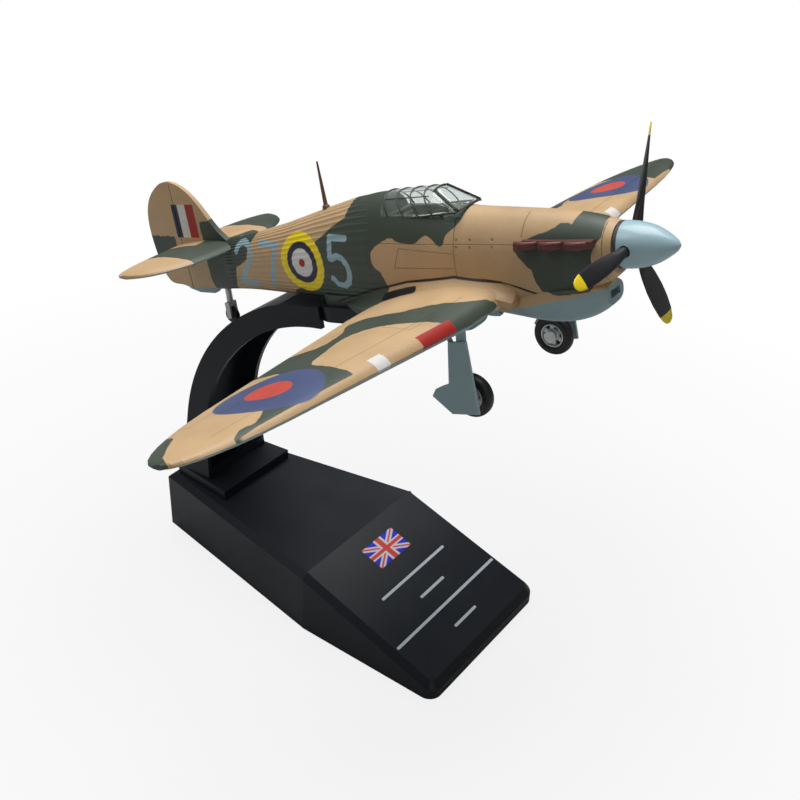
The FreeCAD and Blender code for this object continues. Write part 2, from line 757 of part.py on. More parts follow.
def exhaust_row(side):
    """Flange strip with swept back stub pipes on one side of the nose."""
    length = EXHAUST_FRONT - EXHAUST_REAR
    pitch = length / EXHAUST_STACKS
    low = EXHAUST_Z - EXHAUST_HEIGHT / 2
    strip = box(EXHAUST_REAR + 0.8, EXHAUST_FRONT - 0.5, 4.0, 6.05, low + 0.2, low + EXHAUST_HEIGHT - 0.2)
    pipes = []
    for index in range(EXHAUST_STACKS):
        front = EXHAUST_FRONT - index * pitch
        root = stub_ring(front - 0.8, 5.1 + 0.25 * index, 0.5, 0.5)
        elbow = stub_ring(front - 2.0, 6.3 + 0.25 * index, 0.55, 0.75)
        mouth = stub_ring(front - pitch - 0.1, 6.75 + 0.15 * index, 0.6, EXHAUST_HEIGHT / 2)
        pipes.append(loft([root, elbow, mouth]))
    row = strip.fuse(pipes)
    return on_side(row, side)


def stub_ring(x, y, half_width, half_height):
    points = []
    for index in range(10):
        angle = 2 * math.pi * index / 10
        points.append(Vector(x, y + half_width * math.cos(angle), EXHAUST_Z + half_height * math.sin(angle)))
    curve = Part.BSplineCurve()
    curve.interpolate(Points=points, PeriodicFlag=True)
    return Part.Wire([curve.toShape()])


def exhaust(side):
    return exhaust_row(side).cut(fuselage_form())


# Tail


def fin_outline():
    """Edge of fin and rudder from the front root over the top and round to the keel."""
    return [(-110.4, -0.8), (-114.8, 3.7), (-117.4, 7.4), (-120.2, 10.4), (-122.7, 12.0), (-125.6, 12.9),
            (-128.2, 12.8), (-131.1, 11.4), (-133.7, 9.2), (-135.4, 6.6), (-136.4, 3.2), (-136.6, -0.4),
            (-136.2, -5.2), (-135.0, -9.8), (-133.6, -11.6), (-130.6, -12.2), (-126.7, -13.1)]


@lru_cache
def fin_blank():
    """Tapered blade that holds both fin and rudder."""
    keel_front = (-118.4, KEEL_Z)
    keel_rear = (-123.4, KEEL_Z)
    outline = [Vector(x, 0, z) for x, z in fin_outline()]
    edges = [smooth_edge(outline)]
    lower = [outline[-1]] + [Vector(x, 0, z) for x, z in (keel_rear, keel_front, (TAIL_JOINT, -12.0), (TAIL_JOINT, -4.0))]
    lower.append(outline[0])
    for start, end in zip(lower[:-1], lower[1:]):
        edges.append(Part.makeLine(start, end))
    face = Part.Face(Part.Wire(edges))
    slab = face.extrude(Vector(0, FIN_THICKNESS, 0)).translated(Vector(0, -FIN_THICKNESS / 2, 0))
    return slab.common(fin_taper())


def fin_taper():
    """Wedge section of the blade: thick at the tail cone, thin at the top and rear edge."""
    root, tip = FIN_THICKNESS / 2, FIN_TIP_THICKNESS / 2
    low, high = KEEL_Z - 1, 14.0
    front = polygon([Vector(-105, root, low), Vector(-105, root, -4), Vector(-105, tip, high),
                     Vector(-105, -tip, high), Vector(-105, -root, -4), Vector(-105, -root, low)])
    lengthwise = prism(front, Vector(-36, 0, 0))
    plan = polygon([Vector(-105, root, low), Vector(HINGE_X, root, low), Vector(-137.5, 0.22, low),
                    Vector(-137.5, -0.22, low), Vector(HINGE_X, -root, low), Vector(-105, -root, low)])
    return lengthwise.common(prism(plan, Vector(0, 0, high - low)))


def tail_cone():
    """Rear end of the body that narrows to the rudder hinge."""
    last = FUSELAGE_LINES[-1]
    lines = [last, (-121.0, 1.35, -2.6, -13.3, -6.8), (HINGE_X, FIN_THICKNESS / 2, -3.4, -13.0, -7.4)]
    return loft([ring(*line) for line in lines], ruled=True)


def behind_hinge():
    return box(-140, HINGE_X, -6, 6, -20, 20)


@lru_cache
def fin_and_tail_cone():
    body = fin_blank().fuse(tail_cone()).cut(behind_hinge())
    return body.cut([fuselage_form(), tail_strut_blank()])


def rudder():
    """Rudder blade with a rounded nose along the hinge line."""
    body = fin_blank().common(behind_hinge().translated(Vector(-HINGE_GAP, 0, 0)))
    pins = box(HINGE_X - HINGE_GAP, HINGE_X, -0.3, 0.3, -10.0, -9.0)
    upper = box(HINGE_X - HINGE_GAP, HINGE_X, -0.3, 0.3, 6.0, 7.0)
    return body.fuse([pins, upper])


@lru_cache
def tailplane_form():
    """Thin tail wing right through the body, rounded at both tips."""
    half = TAILPLANE_SPAN / 2
    rings = []
    for share in (0.0, 0.3, 0.55, 0.75, 0.88, 0.96, 0.995):
        y = half * share
        keep = math.sqrt(1 - share ** 2.6)
        x_le = TAILPLANE_TIP_X + (TAILPLANE_LE_X - TAILPLANE_TIP_X) * keep
        x_te = TAILPLANE_TIP_X + (TAILPLANE_TE_X - TAILPLANE_TIP_X) * keep ** 0.7
        depth = TAILPLANE_DEPTH * (0.35 + 0.65 * keep)
        rings.append(airfoil(y, x_le, x_te, TAILPLANE_Z, TAILPLANE_Z, depth))
    port = loft(rings)
    return port.fuse(mirrored(port)).removeSplitter()


def tailplane(side):
    outboard = box(-140, -100, 0.0, TAILPLANE_SPAN, -20, 20)
    half = tailplane_form().common(outboard)
    half = half.cut([fuselage_form(), fin_and_tail_cone(), rudder_sweep()])
    return on_side(half, side)


def rudder_sweep():
    """Room for the rudder between the two tail wings."""
    return box(-140, HINGE_X + 0.05, -1.0, 1.0, -20, 20)


# Undercarriage


def wing_underside(x, y):
    """Height of the wing's lower skin near a point, from its section lines."""
    x_le, x_te, z_le, z_te, depth = wing_lines(y)
    share = (x_le - x) / (x_le - x_te)
    return z_le + (z_te - z_le) * share - depth * 0.36


def leg_form():
    """Oleo leg of the port wheel with its sleeve, side stay and axle."""
    foot = Vector(WHEEL_X, LEG_Y, WHEEL_Z)
    top = Vector(LEG_TOP_X, LEG_Y, WING_LE_Z - 1.0)
    knee = foot + (top - foot) * 0.42
    leg = rod(foot, top, LEG_RADIUS)
    sleeve = rod(knee, top, SLEEVE_RADIUS)
    stay = rod(foot + (top - foot) * 0.45, Vector(WHEEL_X - 6.2, LEG_Y - 4.2, WING_TE_Z), 0.5)
    axle_end = WHEEL_Y - TYRE_WIDTH / 2 - 0.1
    axle = rod(Vector(WHEEL_X, axle_end, WHEEL_Z), Vector(WHEEL_X, LEG_Y, WHEEL_Z), AXLE_RADIUS)
    cap = Part.makeSphere(LEG_RADIUS + 0.25, foot)
    return leg.fuse([sleeve, stay, axle, cap])


def undercarriage_leg(side):
    return on_side(leg_form().cut(wing_form_with_wells()), side)


@lru_cache
def wing_form_with_wells():
    return wing_form().cut([wheel_well(PORT)])


def axle_head(side):
    """Rivet head on the inner end of the axle."""
    start = WHEEL_Y - TYRE_WIDTH / 2 - 0.1
    head = disc(WHEEL_X, start - AXLE_HEAD_LENGTH, start, WHEEL_Z, AXLE_HEAD_RADIUS)
    return on_side(head, side)


def door_plate(side):
    """Leg door that hangs outboard of the wheel, as one flat plate."""
    y = LEG_Y + SLEEVE_RADIUS
    points = [(-33.9, -12.6), (-33.5, -27.1), (-39.6, -27.6), (-43.6, -24.3), (-42.6, -22.8), (-40.9, -22.0),
              (-39.3, -21.4), (-37.9, -12.9)]
    outline = polygon([Vector(px, y, pz) for px, pz in points])
    plate = prism(outline, Vector(0, DOOR_THICKNESS, 0))
    return on_side(plate.cut(wing_form()), side)


def wheel_hub(side):
    """Disc hub with a raised ring and round slots, bored for the axle."""
    low = WHEEL_Y - TYRE_WIDTH / 2 + 0.4
    high = WHEEL_Y + TYRE_WIDTH / 2 - 0.4
    body = disc(WHEEL_X, low, high, WHEEL_Z, HUB_RIM_RADIUS)
    dish = disc(WHEEL_X, low, low + 0.5, WHEEL_Z, HUB_RIM_RADIUS - 0.4)
    boss = disc(WHEEL_X, low, low + 0.5, WHEEL_Z, 1.25)
    body = body.cut(dish.cut(boss))
    slots = []
    for index in range(5):
        angle = 2 * math.pi * index / 5
        x = WHEEL_X + 2.0 * math.cos(angle)
        z = WHEEL_Z + 2.0 * math.sin(angle)
        slots.append(disc(x, low - 0.1, high + 0.1, z, 0.38))
    bore = disc(WHEEL_X, low - 1, high + 1, WHEEL_Z, AXLE_RADIUS + RUNNING_FIT)
    return on_side(body.cut(slots + [bore]), side)


def tyre_profile(x, y, z, radius, width, bore):
    """Round shouldered tyre as a turned solid about an axle along y."""
    half = width / 2
    shoulder = half * TYRE_ROUNDNESS
    inner_left, inner_right = Vector(x, y + half, z + bore), Vector(x, y - half, z + bore)
    edge_left, edge_right = Vector(x, y + half, z + radius - shoulder), Vector(x, y - half, z + radius - shoulder)
    edges = [
        Part.makeLine(inner_left, edge_left),
        Part.Arc(edge_left, Vector(x, y, z + radius), edge_right).toShape(),
        Part.makeLine(edge_right, inner_right),
        Part.makeLine(inner_right, inner_left),
    ]
    return Part.Face(Part.Wire(edges)).revolve(Vector(x, y, z), Vector(0, 1, 0), 360)


def tyre(side):
    body = tyre_profile(WHEEL_X, WHEEL_Y, WHEEL_Z, TYRE_RADIUS, TYRE_WIDTH, HUB_RIM_RADIUS - 0.3)
    seat = disc(WHEEL_X, WHEEL_Y - TYRE_WIDTH, WHEEL_Y + TYRE_WIDTH, WHEEL_Z, HUB_RIM_RADIUS)
    return on_side(body.cut(seat), side)


def tail_strut_blank():
    """Tail wheel strut with its fork, before the wheel gap is cut."""
    root = Vector(TAIL_WHEEL_X + 0.6, 0, -12.0)
    neck = Vector(TAIL_WHEEL_X + 0.2, 0, TAIL_WHEEL_Z + TAIL_WHEEL_RADIUS + 1.0)
    return rod(neck, root, 0.75)


def tail_strut():
    outer = TAIL_WHEEL_WIDTH / 2 + RUNNING_FIT * 2 + FORK_THICKNESS
    inner = TAIL_WHEEL_WIDTH / 2 + RUNNING_FIT * 2
    top = TAIL_WHEEL_Z + TAIL_WHEEL_RADIUS + 1.2
    x = TAIL_WHEEL_X
    blade_outline = [(x - 0.7, TAIL_WHEEL_Z - 0.6), (x + 0.7, TAIL_WHEEL_Z - 0.6), (x + 0.9, top), (x - 0.5, top)]
    fork = side_prism(blade_outline, outer)
    gap = box(x - 4, x + 4, -inner, inner, TAIL_WHEEL_Z - 4, TAIL_WHEEL_Z + TAIL_WHEEL_RADIUS + 0.35)
    pin = disc(x, -outer, outer, TAIL_WHEEL_Z, TAIL_AXLE_RADIUS)
    body = tail_strut_blank().fuse(fork.cut(gap)).fuse(pin)
    return body.cut(fuselage_form())


def tail_wheel():
    body = tyre_profile(TAIL_WHEEL_X, 0, TAIL_WHEEL_Z, TAIL_WHEEL_RADIUS, TAIL_WHEEL_WIDTH, TAIL_AXLE_RADIUS)
    bore = disc(TAIL_WHEEL_X, -3, 3, TAIL_WHEEL_Z, TAIL_AXLE_RADIUS + RUNNING_FIT)
    return body.cut(bore)


# Small fittings


def spine_height(x):
    """Top of the fuselage at a station, between the drawn lines."""
    for ahead, behind in zip(FUSELAGE_LINES[:-1], FUSELAGE_LINES[1:]):
        if behind[0] <= x <= ahead[0]:
            share = (x - ahead[0]) / (behind[0] - ahead[0])
            return ahead[2] + (behind[2] - ahead[2]) * share
    return 0.0


def mast_blank():
    root = spine_height(MAST_X)
    return rod(Vector(MAST_X, 0, root - 1.6), Vector(MAST_X, 0, root + 0.2), MAST_RADIUS)


def antenna_mast():
    """Tapered wireless mast with a ball foot, pressed into the spine."""
    root = spine_height(MAST_X)
    spike = Part.makeCone(MAST_RADIUS * 0.9, MAST_RADIUS * 0.35, MAST_TOP_Z - root, Vector(MAST_X, 0, root))
    knob = Part.makeSphere(MAST_RADIUS * 1.5, Vector(MAST_X, 0, root + 0.3))
    foot = knob.cut(fuselage_form())
    return mast_blank().fuse([spike.cut(fuselage_form()), foot])


def pitot_tube():
    """Bent probe under the port wing."""
    z = wing_underside(PITOT_X, PITOT_Y)
    drop = rod(Vector(PITOT_X, PITOT_Y, z + 1.0), Vector(PITOT_X, PITOT_Y, z - 1.6), 0.35)
    probe = rod(Vector(PITOT_X, PITOT_Y, z - 1.6), Vector(PITOT_X + 5.5, PITOT_Y, z - 1.6), 0.3)
    elbow = Part.makeSphere(0.35, Vector(PITOT_X, PITOT_Y, z - 1.6))
    return drop.fuse([probe, elbow]).cut(wing_form())


# Stand


def base_plan(inset=0.0):
    """Seen from above: narrow at the rear and wide from the crease to the front."""
    rear, front = BASE_REAR_X + inset, BASE_FRONT_X - inset
    points = [(rear, BASE_REAR_HALF - inset), (BASE_CREASE_X, BASE_CREASE_HALF - inset), (front, BASE_FRONT_HALF - inset)]
    outline = [Vector(x, y, 0) for x, y in points]
    outline += [Vector(x, -y, 0) for x, y in reversed(points)]
    return prism(polygon(outline), Vector(0, 0, 2 * BASE_HEIGHT))


def base_side(inset=0.0):
    """Seen from the side: level top at the rear and a slope down to the front lip."""
    top, lip = BASE_HEIGHT - inset, BASE_FRONT_HEIGHT - inset
    reach = 2 * BASE_FRONT_X
    slope = (BASE_FRONT_HEIGHT - BASE_HEIGHT) / (BASE_FRONT_X - BASE_CREASE_X)
    end = lip + slope * (reach - BASE_FRONT_X)
    floor = min(end, 0) - 20
    points = [(BASE_REAR_X - 5, floor), (reach, floor), (reach, end), (BASE_CREASE_X, top), (BASE_REAR_X - 5, top)]
    return side_prism(points, 2 * BASE_FRONT_HALF)


def base_block(inset=0.0):
    return base_plan(inset).common(base_side(inset))


def screw_places():
    middle = 0.5 * (ARM_REAR_X + ARM_REAR_X + ARM_FOOT_DEPTH)
    return [(middle + 0.5, -SCREW_SPACING / 2), (middle + 0.5, SCREW_SPACING / 2)]


def base_outer():
    block = base_block()
    upright = [edge for edge in block.Edges if is_front_corner(edge)]
    block = block.makeFillet(BASE_CORNER_RADIUS, upright)
    rim = [edge for edge in block.Edges if is_top_rim(edge)]
    return block.makeChamfer(BASE_CHAMFER, rim)


def is_front_corner(edge):
    low, high = edge.BoundBox.ZMin, edge.BoundBox.ZMax
    middle = edge.CenterOfMass
    return high - low > 0.5 and edge.BoundBox.XLength < 0.01 and abs(middle.x - BASE_FRONT_X) < 0.01 and abs(middle.y) > 1


def is_top_rim(edge):
    """Edges round the top faces, but not the crease between them."""
    middle = edge.CenterOfMass
    level = BASE_HEIGHT
    if middle.x > BASE_CREASE_X:
        slope = (BASE_FRONT_HEIGHT - BASE_HEIGHT) / (BASE_FRONT_X - BASE_CREASE_X)
        level = BASE_HEIGHT + slope * (middle.x - BASE_CREASE_X)
    crease = edge.BoundBox.XLength < 0.01 and abs(middle.x - BASE_CREASE_X) < 0.01
    return abs(middle.z - level) < 0.15 and not crease


def plinth_block():
    points = [(PLINTH_REAR_X, PLINTH_REAR_HALF), (PLINTH_FRONT_X, PLINTH_FRONT_HALF)]
    outline = [Vector(x, y, BASE_HEIGHT) for x, y in points]
    outline += [Vector(x, -y, BASE_HEIGHT) for x, y in reversed(points)]
    return prism(polygon(outline), Vector(0, 0, PLINTH_HEIGHT))


def stand_base():
    """Hollow moulded base with a plinth for the arm and two screw posts inside."""
    shell = base_outer().cut(base_block(BASE_WALL))
    body = shell.fuse(plinth_block())
    post_top = BASE_HEIGHT - BASE_WALL
    posts = [Part.makeCylinder(BOSS_RADIUS, post_top - 4.0, Vector(x, y, 4.0)) for x, y in screw_places()]
    body = body.fuse(posts)
    holes = []
    for x, y in screw_places():
        holes.append(Part.makeCylinder(SCREW_RADIUS, 3 * BASE_HEIGHT, Vector(x, y, 0)))
    return body.cut(holes)


def arm_screws():
    """Two pan head screws driven up through the base into the arm's foot."""
    solids = []
    for x, y in screw_places():
        head = Part.makeCylinder(SCREW_HEAD_RADIUS, SCREW_HEAD_LENGTH, Vector(x, y, 4.0 - SCREW_HEAD_LENGTH))
        top = BASE_HEIGHT + PLINTH_HEIGHT + ARM_FOOT_THICKNESS
        shank = Part.makeCylinder(SCREW_RADIUS, top - 4.0, Vector(x, y, 4.0))
        cross = box(x - 1.4, x + 1.4, y - 0.25, y + 0.25, 4.0 - SCREW_HEAD_LENGTH, 4.0 - SCREW_HEAD_LENGTH + 0.7)
        slot = cross.fuse(box(x - 0.25, x + 0.25, y - 1.4, y + 1.4, 4.0 - SCREW_HEAD_LENGTH, 4.0 - SCREW_HEAD_LENGTH + 0.7))
        solids.append(head.fuse(shank).cut(slot))
    return Part.makeCompound(solids)


def arm_curve(start, end):
    """Arc that leaves the start along the arm's lean and passes through the end."""
    along = Vector(math.cos(math.radians(ARM_LEAN)), 0, math.sin(math.radians(ARM_LEAN)))
    inward = Vector(along.z, 0, -along.x)
    chord = end - start
    radius = chord.Length ** 2 / (2 * chord.dot(inward))
    centre = start + inward * radius
    middle = (start + end) * 0.5 - centre
    middle = centre + middle.normalize() * radius
    return Part.Arc(start, middle, end).toShape()


def arm_side(near, far, reach, half_width):
    """Side view between two lines set in from the arm's back, swept across.

    near is one distance from the back, far gives it at the foot, at the shoulder and at the end,
    and reach carries both lines past the end of the arm.
    """
    foot_z = BASE_HEIGHT + PLINTH_HEIGHT
    lean = math.radians(ARM_LEAN)
    along = Vector(math.cos(lean), 0, math.sin(lean))
    inward = Vector(along.z, 0, -along.x)
    foot = Vector(ARM_REAR_X, -half_width, foot_z)
    shoulder = foot + along * ARM_STRAIGHT
    ahead = stand_point(1, 0) - stand_point(0, 0)
    down = stand_point(0, -1) - stand_point(0, 0)
    end = arm_end() + Vector(0, -half_width, 0) + ahead * reach
    near_foot = foot + Vector(near / inward.x, 0, 0)
    far_foot = foot + Vector(far[0], 0, 0)
    near_shoulder, far_shoulder = shoulder + inward * near, shoulder + inward * far[1]
    near_end, far_end = end + down * near, end + down * far[2]
    edges = [
        Part.makeLine(near_foot, near_shoulder),
        arm_curve(near_shoulder, near_end),
        Part.makeLine(near_end, far_end),
        arm_curve(far_shoulder, far_end),
        Part.makeLine(far_shoulder, far_foot),
        Part.makeLine(far_foot, near_foot),
    ]
    wire = Part.Wire(Part.__sortEdges__(edges))
    return prism(wire, Vector(0, 2 * half_width, 0))


def arm_end():
    """Upper rear corner where the arm meets the cradle, level with its rim."""
    return stand_point(CRADLE_REAR + ARM_END_OVERLAP, cradle_top())


def arm_front_view(inset=0.0):
    """Seen from the front: wide at the foot and drawn in towards the cradle."""
    foot_z = BASE_HEIGHT + PLINTH_HEIGHT - 1
    mid_z = foot_z + ARM_STRAIGHT
    top_z = arm_end().z + 5
    foot, middle, top = (width / 2 - inset for width in (ARM_FOOT_WIDTH, ARM_MID_WIDTH, ARM_END_WIDTH))
    x = BASE_REAR_X - 20
    port = Part.Arc(Vector(x, foot, foot_z), Vector(x, middle, mid_z), Vector(x, top, top_z)).toShape()
    starboard = Part.Arc(Vector(x, -top, top_z), Vector(x, -middle, mid_z), Vector(x, -foot, foot_z)).toShape()
    edges = [port, Part.makeLine(Vector(x, top, top_z), Vector(x, -top, top_z)), starboard]
    edges.append(Part.makeLine(Vector(x, -foot, foot_z), Vector(x, foot, foot_z)))
    return prism(Part.Wire(edges), Vector(4 * BASE_FRONT_X, 0, 0))


def stand_arm():
    """Curved channel arm: a web behind, two flanges and a screwed foot."""
    width = 2 * ARM_FOOT_WIDTH
    depths = (ARM_FOOT_DEPTH, ARM_DEPTH, ARM_END_DEPTH)
    full = arm_side(0, depths, 0, width).common(arm_front_view())
    channel = arm_side(ARM_WEB, [2 * depth for depth in depths], ARM_FLANGE, width)
    foot_top = BASE_HEIGHT + PLINTH_HEIGHT + ARM_FOOT_THICKNESS
    above_foot = box(-200, 200, -width, width, foot_top, 200)
    arm = full.cut(channel.common(arm_front_view(ARM_FLANGE)).common(above_foot))
    holes = [Part.makeCylinder(SCREW_RADIUS, 2 * BASE_HEIGHT, Vector(x, y, 0)) for x, y in screw_places()]
    belly = box(2 * CRADLE_REAR, 0, -width, width, cradle_top(), 0)
    keep_clear = [to_stand(cradle_outer()), to_stand(cradle_tongue()), to_stand(belly)]
    return arm.cut(holes + keep_clear)


# Cradle


def cradle_top():
    return BELLY_Z - LOOSE_GAP


def cradle_floor():
    return cradle_top() - CRADLE_RECESS


@lru_cache
def cradle_outer():
    return stadium(CRADLE_REAR, CRADLE_REAR + CRADLE_LENGTH, CRADLE_WIDTH, cradle_top() - CRADLE_HEIGHT, CRADLE_HEIGHT)


def cradle_tongue():
    """Tab that fills the channel of the arm behind the cradle."""
    half = ARM_END_WIDTH / 2 - ARM_FLANGE
    top = cradle_top() - ARM_WEB
    front = CRADLE_REAR + ARM_END_OVERLAP
    return box(front - TONGUE_LENGTH, front, -half, half, top - TONGUE_THICKNESS, top)


def recess_stadium(shrink, z_low, height):
    inset = CRADLE_RIM + shrink
    return stadium(CRADLE_REAR + inset, CRADLE_REAR + CRADLE_LENGTH - inset, CRADLE_WIDTH - 2 * inset, z_low, height)


def peg_rod(extra=0.0):
    x = CRADLE_REAR + CRADLE_LENGTH / 2
    return Part.makeCylinder(PEG_RADIUS + extra, PEG_LENGTH + extra * 4, Vector(x, 0, cradle_floor()))


def cradle_pad():
    """Oval dish with a raised rim, a tongue into the arm and a locating peg."""
    dish = cradle_outer().cut(recess_stadium(0.0, cradle_floor(), CRADLE_RECESS + 1))
    tongue = cradle_tongue().cut(cradle_outer())
    return dish.fuse([tongue, peg_rod()])


def belly_pad():
    """Oval foot under the belly that sits down in the dish."""
    return recess_stadium(LOOSE_GAP, cradle_floor(), BELLY_Z - cradle_floor() + 2.0)


AIRCRAFT_NODES = {
    "spinner": spinner,
    "spinner_backplate": spinner_backplate,
    "propeller_blades": propeller_blades,
    "propeller_shaft": propeller_shaft,
    "shaft_collar": shaft_collar,
    "nose_bush": nose_bush,
    "fuselage_casting": fuselage_casting,
    "wing_casting": wing_casting,
    "chin_cowl": chin_cowl,
    "radiator_fairing": radiator_fairing,
    "carburettor_intake": carburettor_intake,
    "cockpit_tub": cockpit_tub,
    "pilot_seat": pilot_seat,
    "control_column": control_column,
    "instrument_panel": instrument_panel,
    "canopy_glazing": canopy_glazing,
    "canopy_frame": canopy_frame,
    "fin_and_tail_cone": fin_and_tail_cone,
    "rudder": rudder,
    "tail_strut": tail_strut,
    "tail_wheel": tail_wheel,
    "antenna_mast": antenna_mast,
    "pitot_tube": pitot_tube,
    "cradle_pad": cradle_pad,
}

PAIRED_NODES = {
    "exhaust": exhaust,
    "tailplane": tailplane,
    "undercarriage_leg": undercarriage_leg,
    "undercarriage_door": door_plate,
    "axle_head": axle_head,
    "wheel_hub": wheel_hub,
    "main_tyre": tyre,
}

STAND_NODES = {
    "stand_base": stand_base,
    "stand_arm": stand_arm,
    "arm_screws": arm_screws,
}


def write_node(name, shape):
    os.makedirs("parts", exist_ok=True)
    shape.exportStep("parts/" + name + ".step")
    print(name, "solids", len(shape.Solids), "volume", round(shape.Volume, 2), "valid", shape.isValid())


def main():
    for name, make in AIRCRAFT_NODES.items():
        write_node(name, to_stand(make()))
    for name, make in PAIRED_NODES.items():
        write_node(name + "_left", to_stand(make(PORT)))
        write_node(name + "_right", to_stand(make(STARBOARD)))
    for name, make in STAND_NODES.items():
        write_node(name, make())


if __name__ == "__main__":
    main()
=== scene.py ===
"""Looks of a propeller fighter display model on its curved stand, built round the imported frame."""

import math

import bmesh
import bpy
import numpy as np
from mathutils import Matrix


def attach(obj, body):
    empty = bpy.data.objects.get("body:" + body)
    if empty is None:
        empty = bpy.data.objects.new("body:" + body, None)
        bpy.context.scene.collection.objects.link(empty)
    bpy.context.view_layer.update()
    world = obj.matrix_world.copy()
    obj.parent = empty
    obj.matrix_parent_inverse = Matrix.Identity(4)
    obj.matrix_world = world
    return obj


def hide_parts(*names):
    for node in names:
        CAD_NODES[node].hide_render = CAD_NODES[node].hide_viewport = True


bl_info = {
    "name": "Fighter Display Model",
    "version": (1, 0, 0),
    "blender": (4, 5, 0),
    "location": "View3D > Sidebar > Display Model",
    "description": "Paint, markings, fine fittings and studio for a fighter model on a stand",
    "category": "Object",
}

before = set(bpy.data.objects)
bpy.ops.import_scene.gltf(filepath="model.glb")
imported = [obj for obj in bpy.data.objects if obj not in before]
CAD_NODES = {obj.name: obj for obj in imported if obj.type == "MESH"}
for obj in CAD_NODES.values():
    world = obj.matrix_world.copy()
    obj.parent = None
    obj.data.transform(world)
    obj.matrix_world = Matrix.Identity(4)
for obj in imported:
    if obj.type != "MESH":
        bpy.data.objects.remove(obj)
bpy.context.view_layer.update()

MM = 0.001
# The aircraft sits nose up on its stand: where its spinner tip is, and its pitch
TIP_X, TIP_Z = 66.4, 110.4
PITCH = math.radians(15)

# Fuselage lines in aircraft millimetres: station, half width, top, bottom, height of the widest point
BODY_LINES = np.array([
    (-52.0, 6.8, 9.0, -13.0, -3.0), (-60.5, 6.7, 10.1, -13.0, -3.2), (-69.5, 6.2, 8.7, -13.0, -3.4),
    (-79.0, 5.4, 6.3, -13.0, -3.8), (-90.0, 4.5, 3.3, -12.7, -4.4), (-102.0, 3.4, 0.6, -12.3, -5.2),
    (-110.0, 2.6, -0.7, -12.5, -5.8), (-116.4, 2.0, -1.6, -12.9, -6.4),
])
CROWN_ROUNDNESS, BELLY_ROUNDNESS = 2.0, 2.7

# Edges of the green on the fuselage side, as (station, height); 20 is above the spine, -20 under the belly
TAIL_GREEN_TOP = [
    (-119, -20), (-118.3, -20), (-118.2, 3.4), (-115, 3.8), (-112, 20), (-100.2, 20), (-99.8, -20),
]
TAIL_GREEN_LOW = [
    (-119, 20), (-118.3, 20), (-118.2, -1), (-117.4, -1.4), (-117.2, -20), (-109.6, -20), (-109, -11.8),
    (-107.6, -9), (-106.8, -6.4), (-105, -5.7), (-102.2, -4.1), (-101.6, -1.1), (-100.6, -0.3),
    (-99.6, 1.6),
]
MIDDLE_GREEN_TOP = [
    (-91, -20), (-89.9, -13), (-89.3, -11.4), (-88.3, -10.3), (-86, -9.8), (-83, -8), (-81.6, -3),
    (-80, 0.3), (-77, 2), (-74, 4), (-72, 5), (-70.4, 5.8), (-69.6, 8), (-68.9, 20),
]
TAN_BAY_TOP = [
    (-63.6, -20), (-63.5, -1.6), (-63.2, -0.6), (-62, 0.5), (-60, 1.6), (-58.6, 2.2), (-57.4, 2.2),
    (-56.2, 1.6), (-55, 1.3), (-52.6, 1.2), (-51.4, 1.6), (-50.4, 2.4), (-49.4, 2.9), (-48.4, 2.4),
    (-47.2, 1.5), (-46.2, 0.8), (-45.4, 1.1), (-44.8, 2.9), (-43, 4.2), (-41.9, 5.4), (-41.4, 7.2),
    (-41, 20),
]
TAN_BAY_LOW = [
    (-63.6, 20), (-63.5, -1.9), (-63.3, -3), (-62.4, -4), (-61.4, -4.6), (-60.9, -5.8), (-60.5, -7.5),
    (-60.2, -20),
]
NOSE_GREEN_TOP = [
    (-30.2, -20), (-30, 0.8), (-29, 1.2), (-27, 2.4), (-24.6, 3.2), (-22, 4), (-21, 4.8), (-19.5, 4.8),
    (-18.6, 4.6), (-18.2, 6), (-17.8, 20), (-13, 20), (-12.6, -20),
]
NOSE_GREEN_LOW = [
    (-30.2, 20), (-30, 0.4), (-29.2, -0.6), (-28, -2), (-26.7, -3.4), (-26.2, -6), (-25.4, -7.8),
    (-22.5, -8.4), (-20, -8.2), (-16.4, -7.8), (-15.4, -6), (-14.8, -1), (-14.2, 1), (-12.9, 2.4),
    (-12.6, 20),
]

# Edges of the green on the wing tops, as (distance from the middle, station)
NEAR_BAND_REAR = [
    (0, 0), (8.8, 0), (9, -33.4), (11.5, -34.5), (14, -36), (16, -39), (18.5, -42), (20.5, -44),
    (22, -46), (22.5, -54), (23.2, -55.3), (24.5, -56.4), (26, -56), (28, -54.5), (30, -53), (33, -52),
    (36, -51.8), (38, -52.4), (39, -54.5), (39.6, -70), (50.1, -70), (50.6, -50.4), (51.5, -48.5),
    (60, -44), (64, -42), (66, -38.7), (68, -37.4), (70, -36.8), (73, -37.1), (75, -36.3), (75.8, -33),
    (77, 0),
]
NEAR_BAND_FRONT = [
    (0, 0), (22.2, 0), (22.8, -33.4), (24, -34.3), (25, -36), (26.3, -38), (27.5, -40), (28.7, -43),
    (29.7, -45), (31, -47), (33, -48.5), (35, -48.9), (38, -48.3), (41, -47.5), (44, -46.8), (46, -46.2),
    (47.8, -44.8), (48.4, -42), (48.6, -36.5), (48.9, -33), (49.2, 0),
]
NEAR_TIP_GREEN = [
    (74.4, -70), (75, -50.5), (76, -48.6), (77.5, -47.5), (79.5, -46), (81, -44.6), (83, -43), (84, -41),
    (85, -38),
]
FAR_BAND_REAR = [
    (0, -44), (18, -44), (22, -43.3), (25, -41), (29, -40.3), (30.5, -37.6), (32, -37.6), (34, -38.6),
    (36.5, -36.5), (37.5, -33), (38, 0), (65, 0), (65.4, -38), (66.2, -43), (68, -49), (69.4, -52),
    (70.5, -70),
]
FAR_TIP_GREEN = [
    (42, -70), (43, -55), (46, -51.6), (49, -51.4), (52, -52.6), (60, -54.2), (70, -55),
]

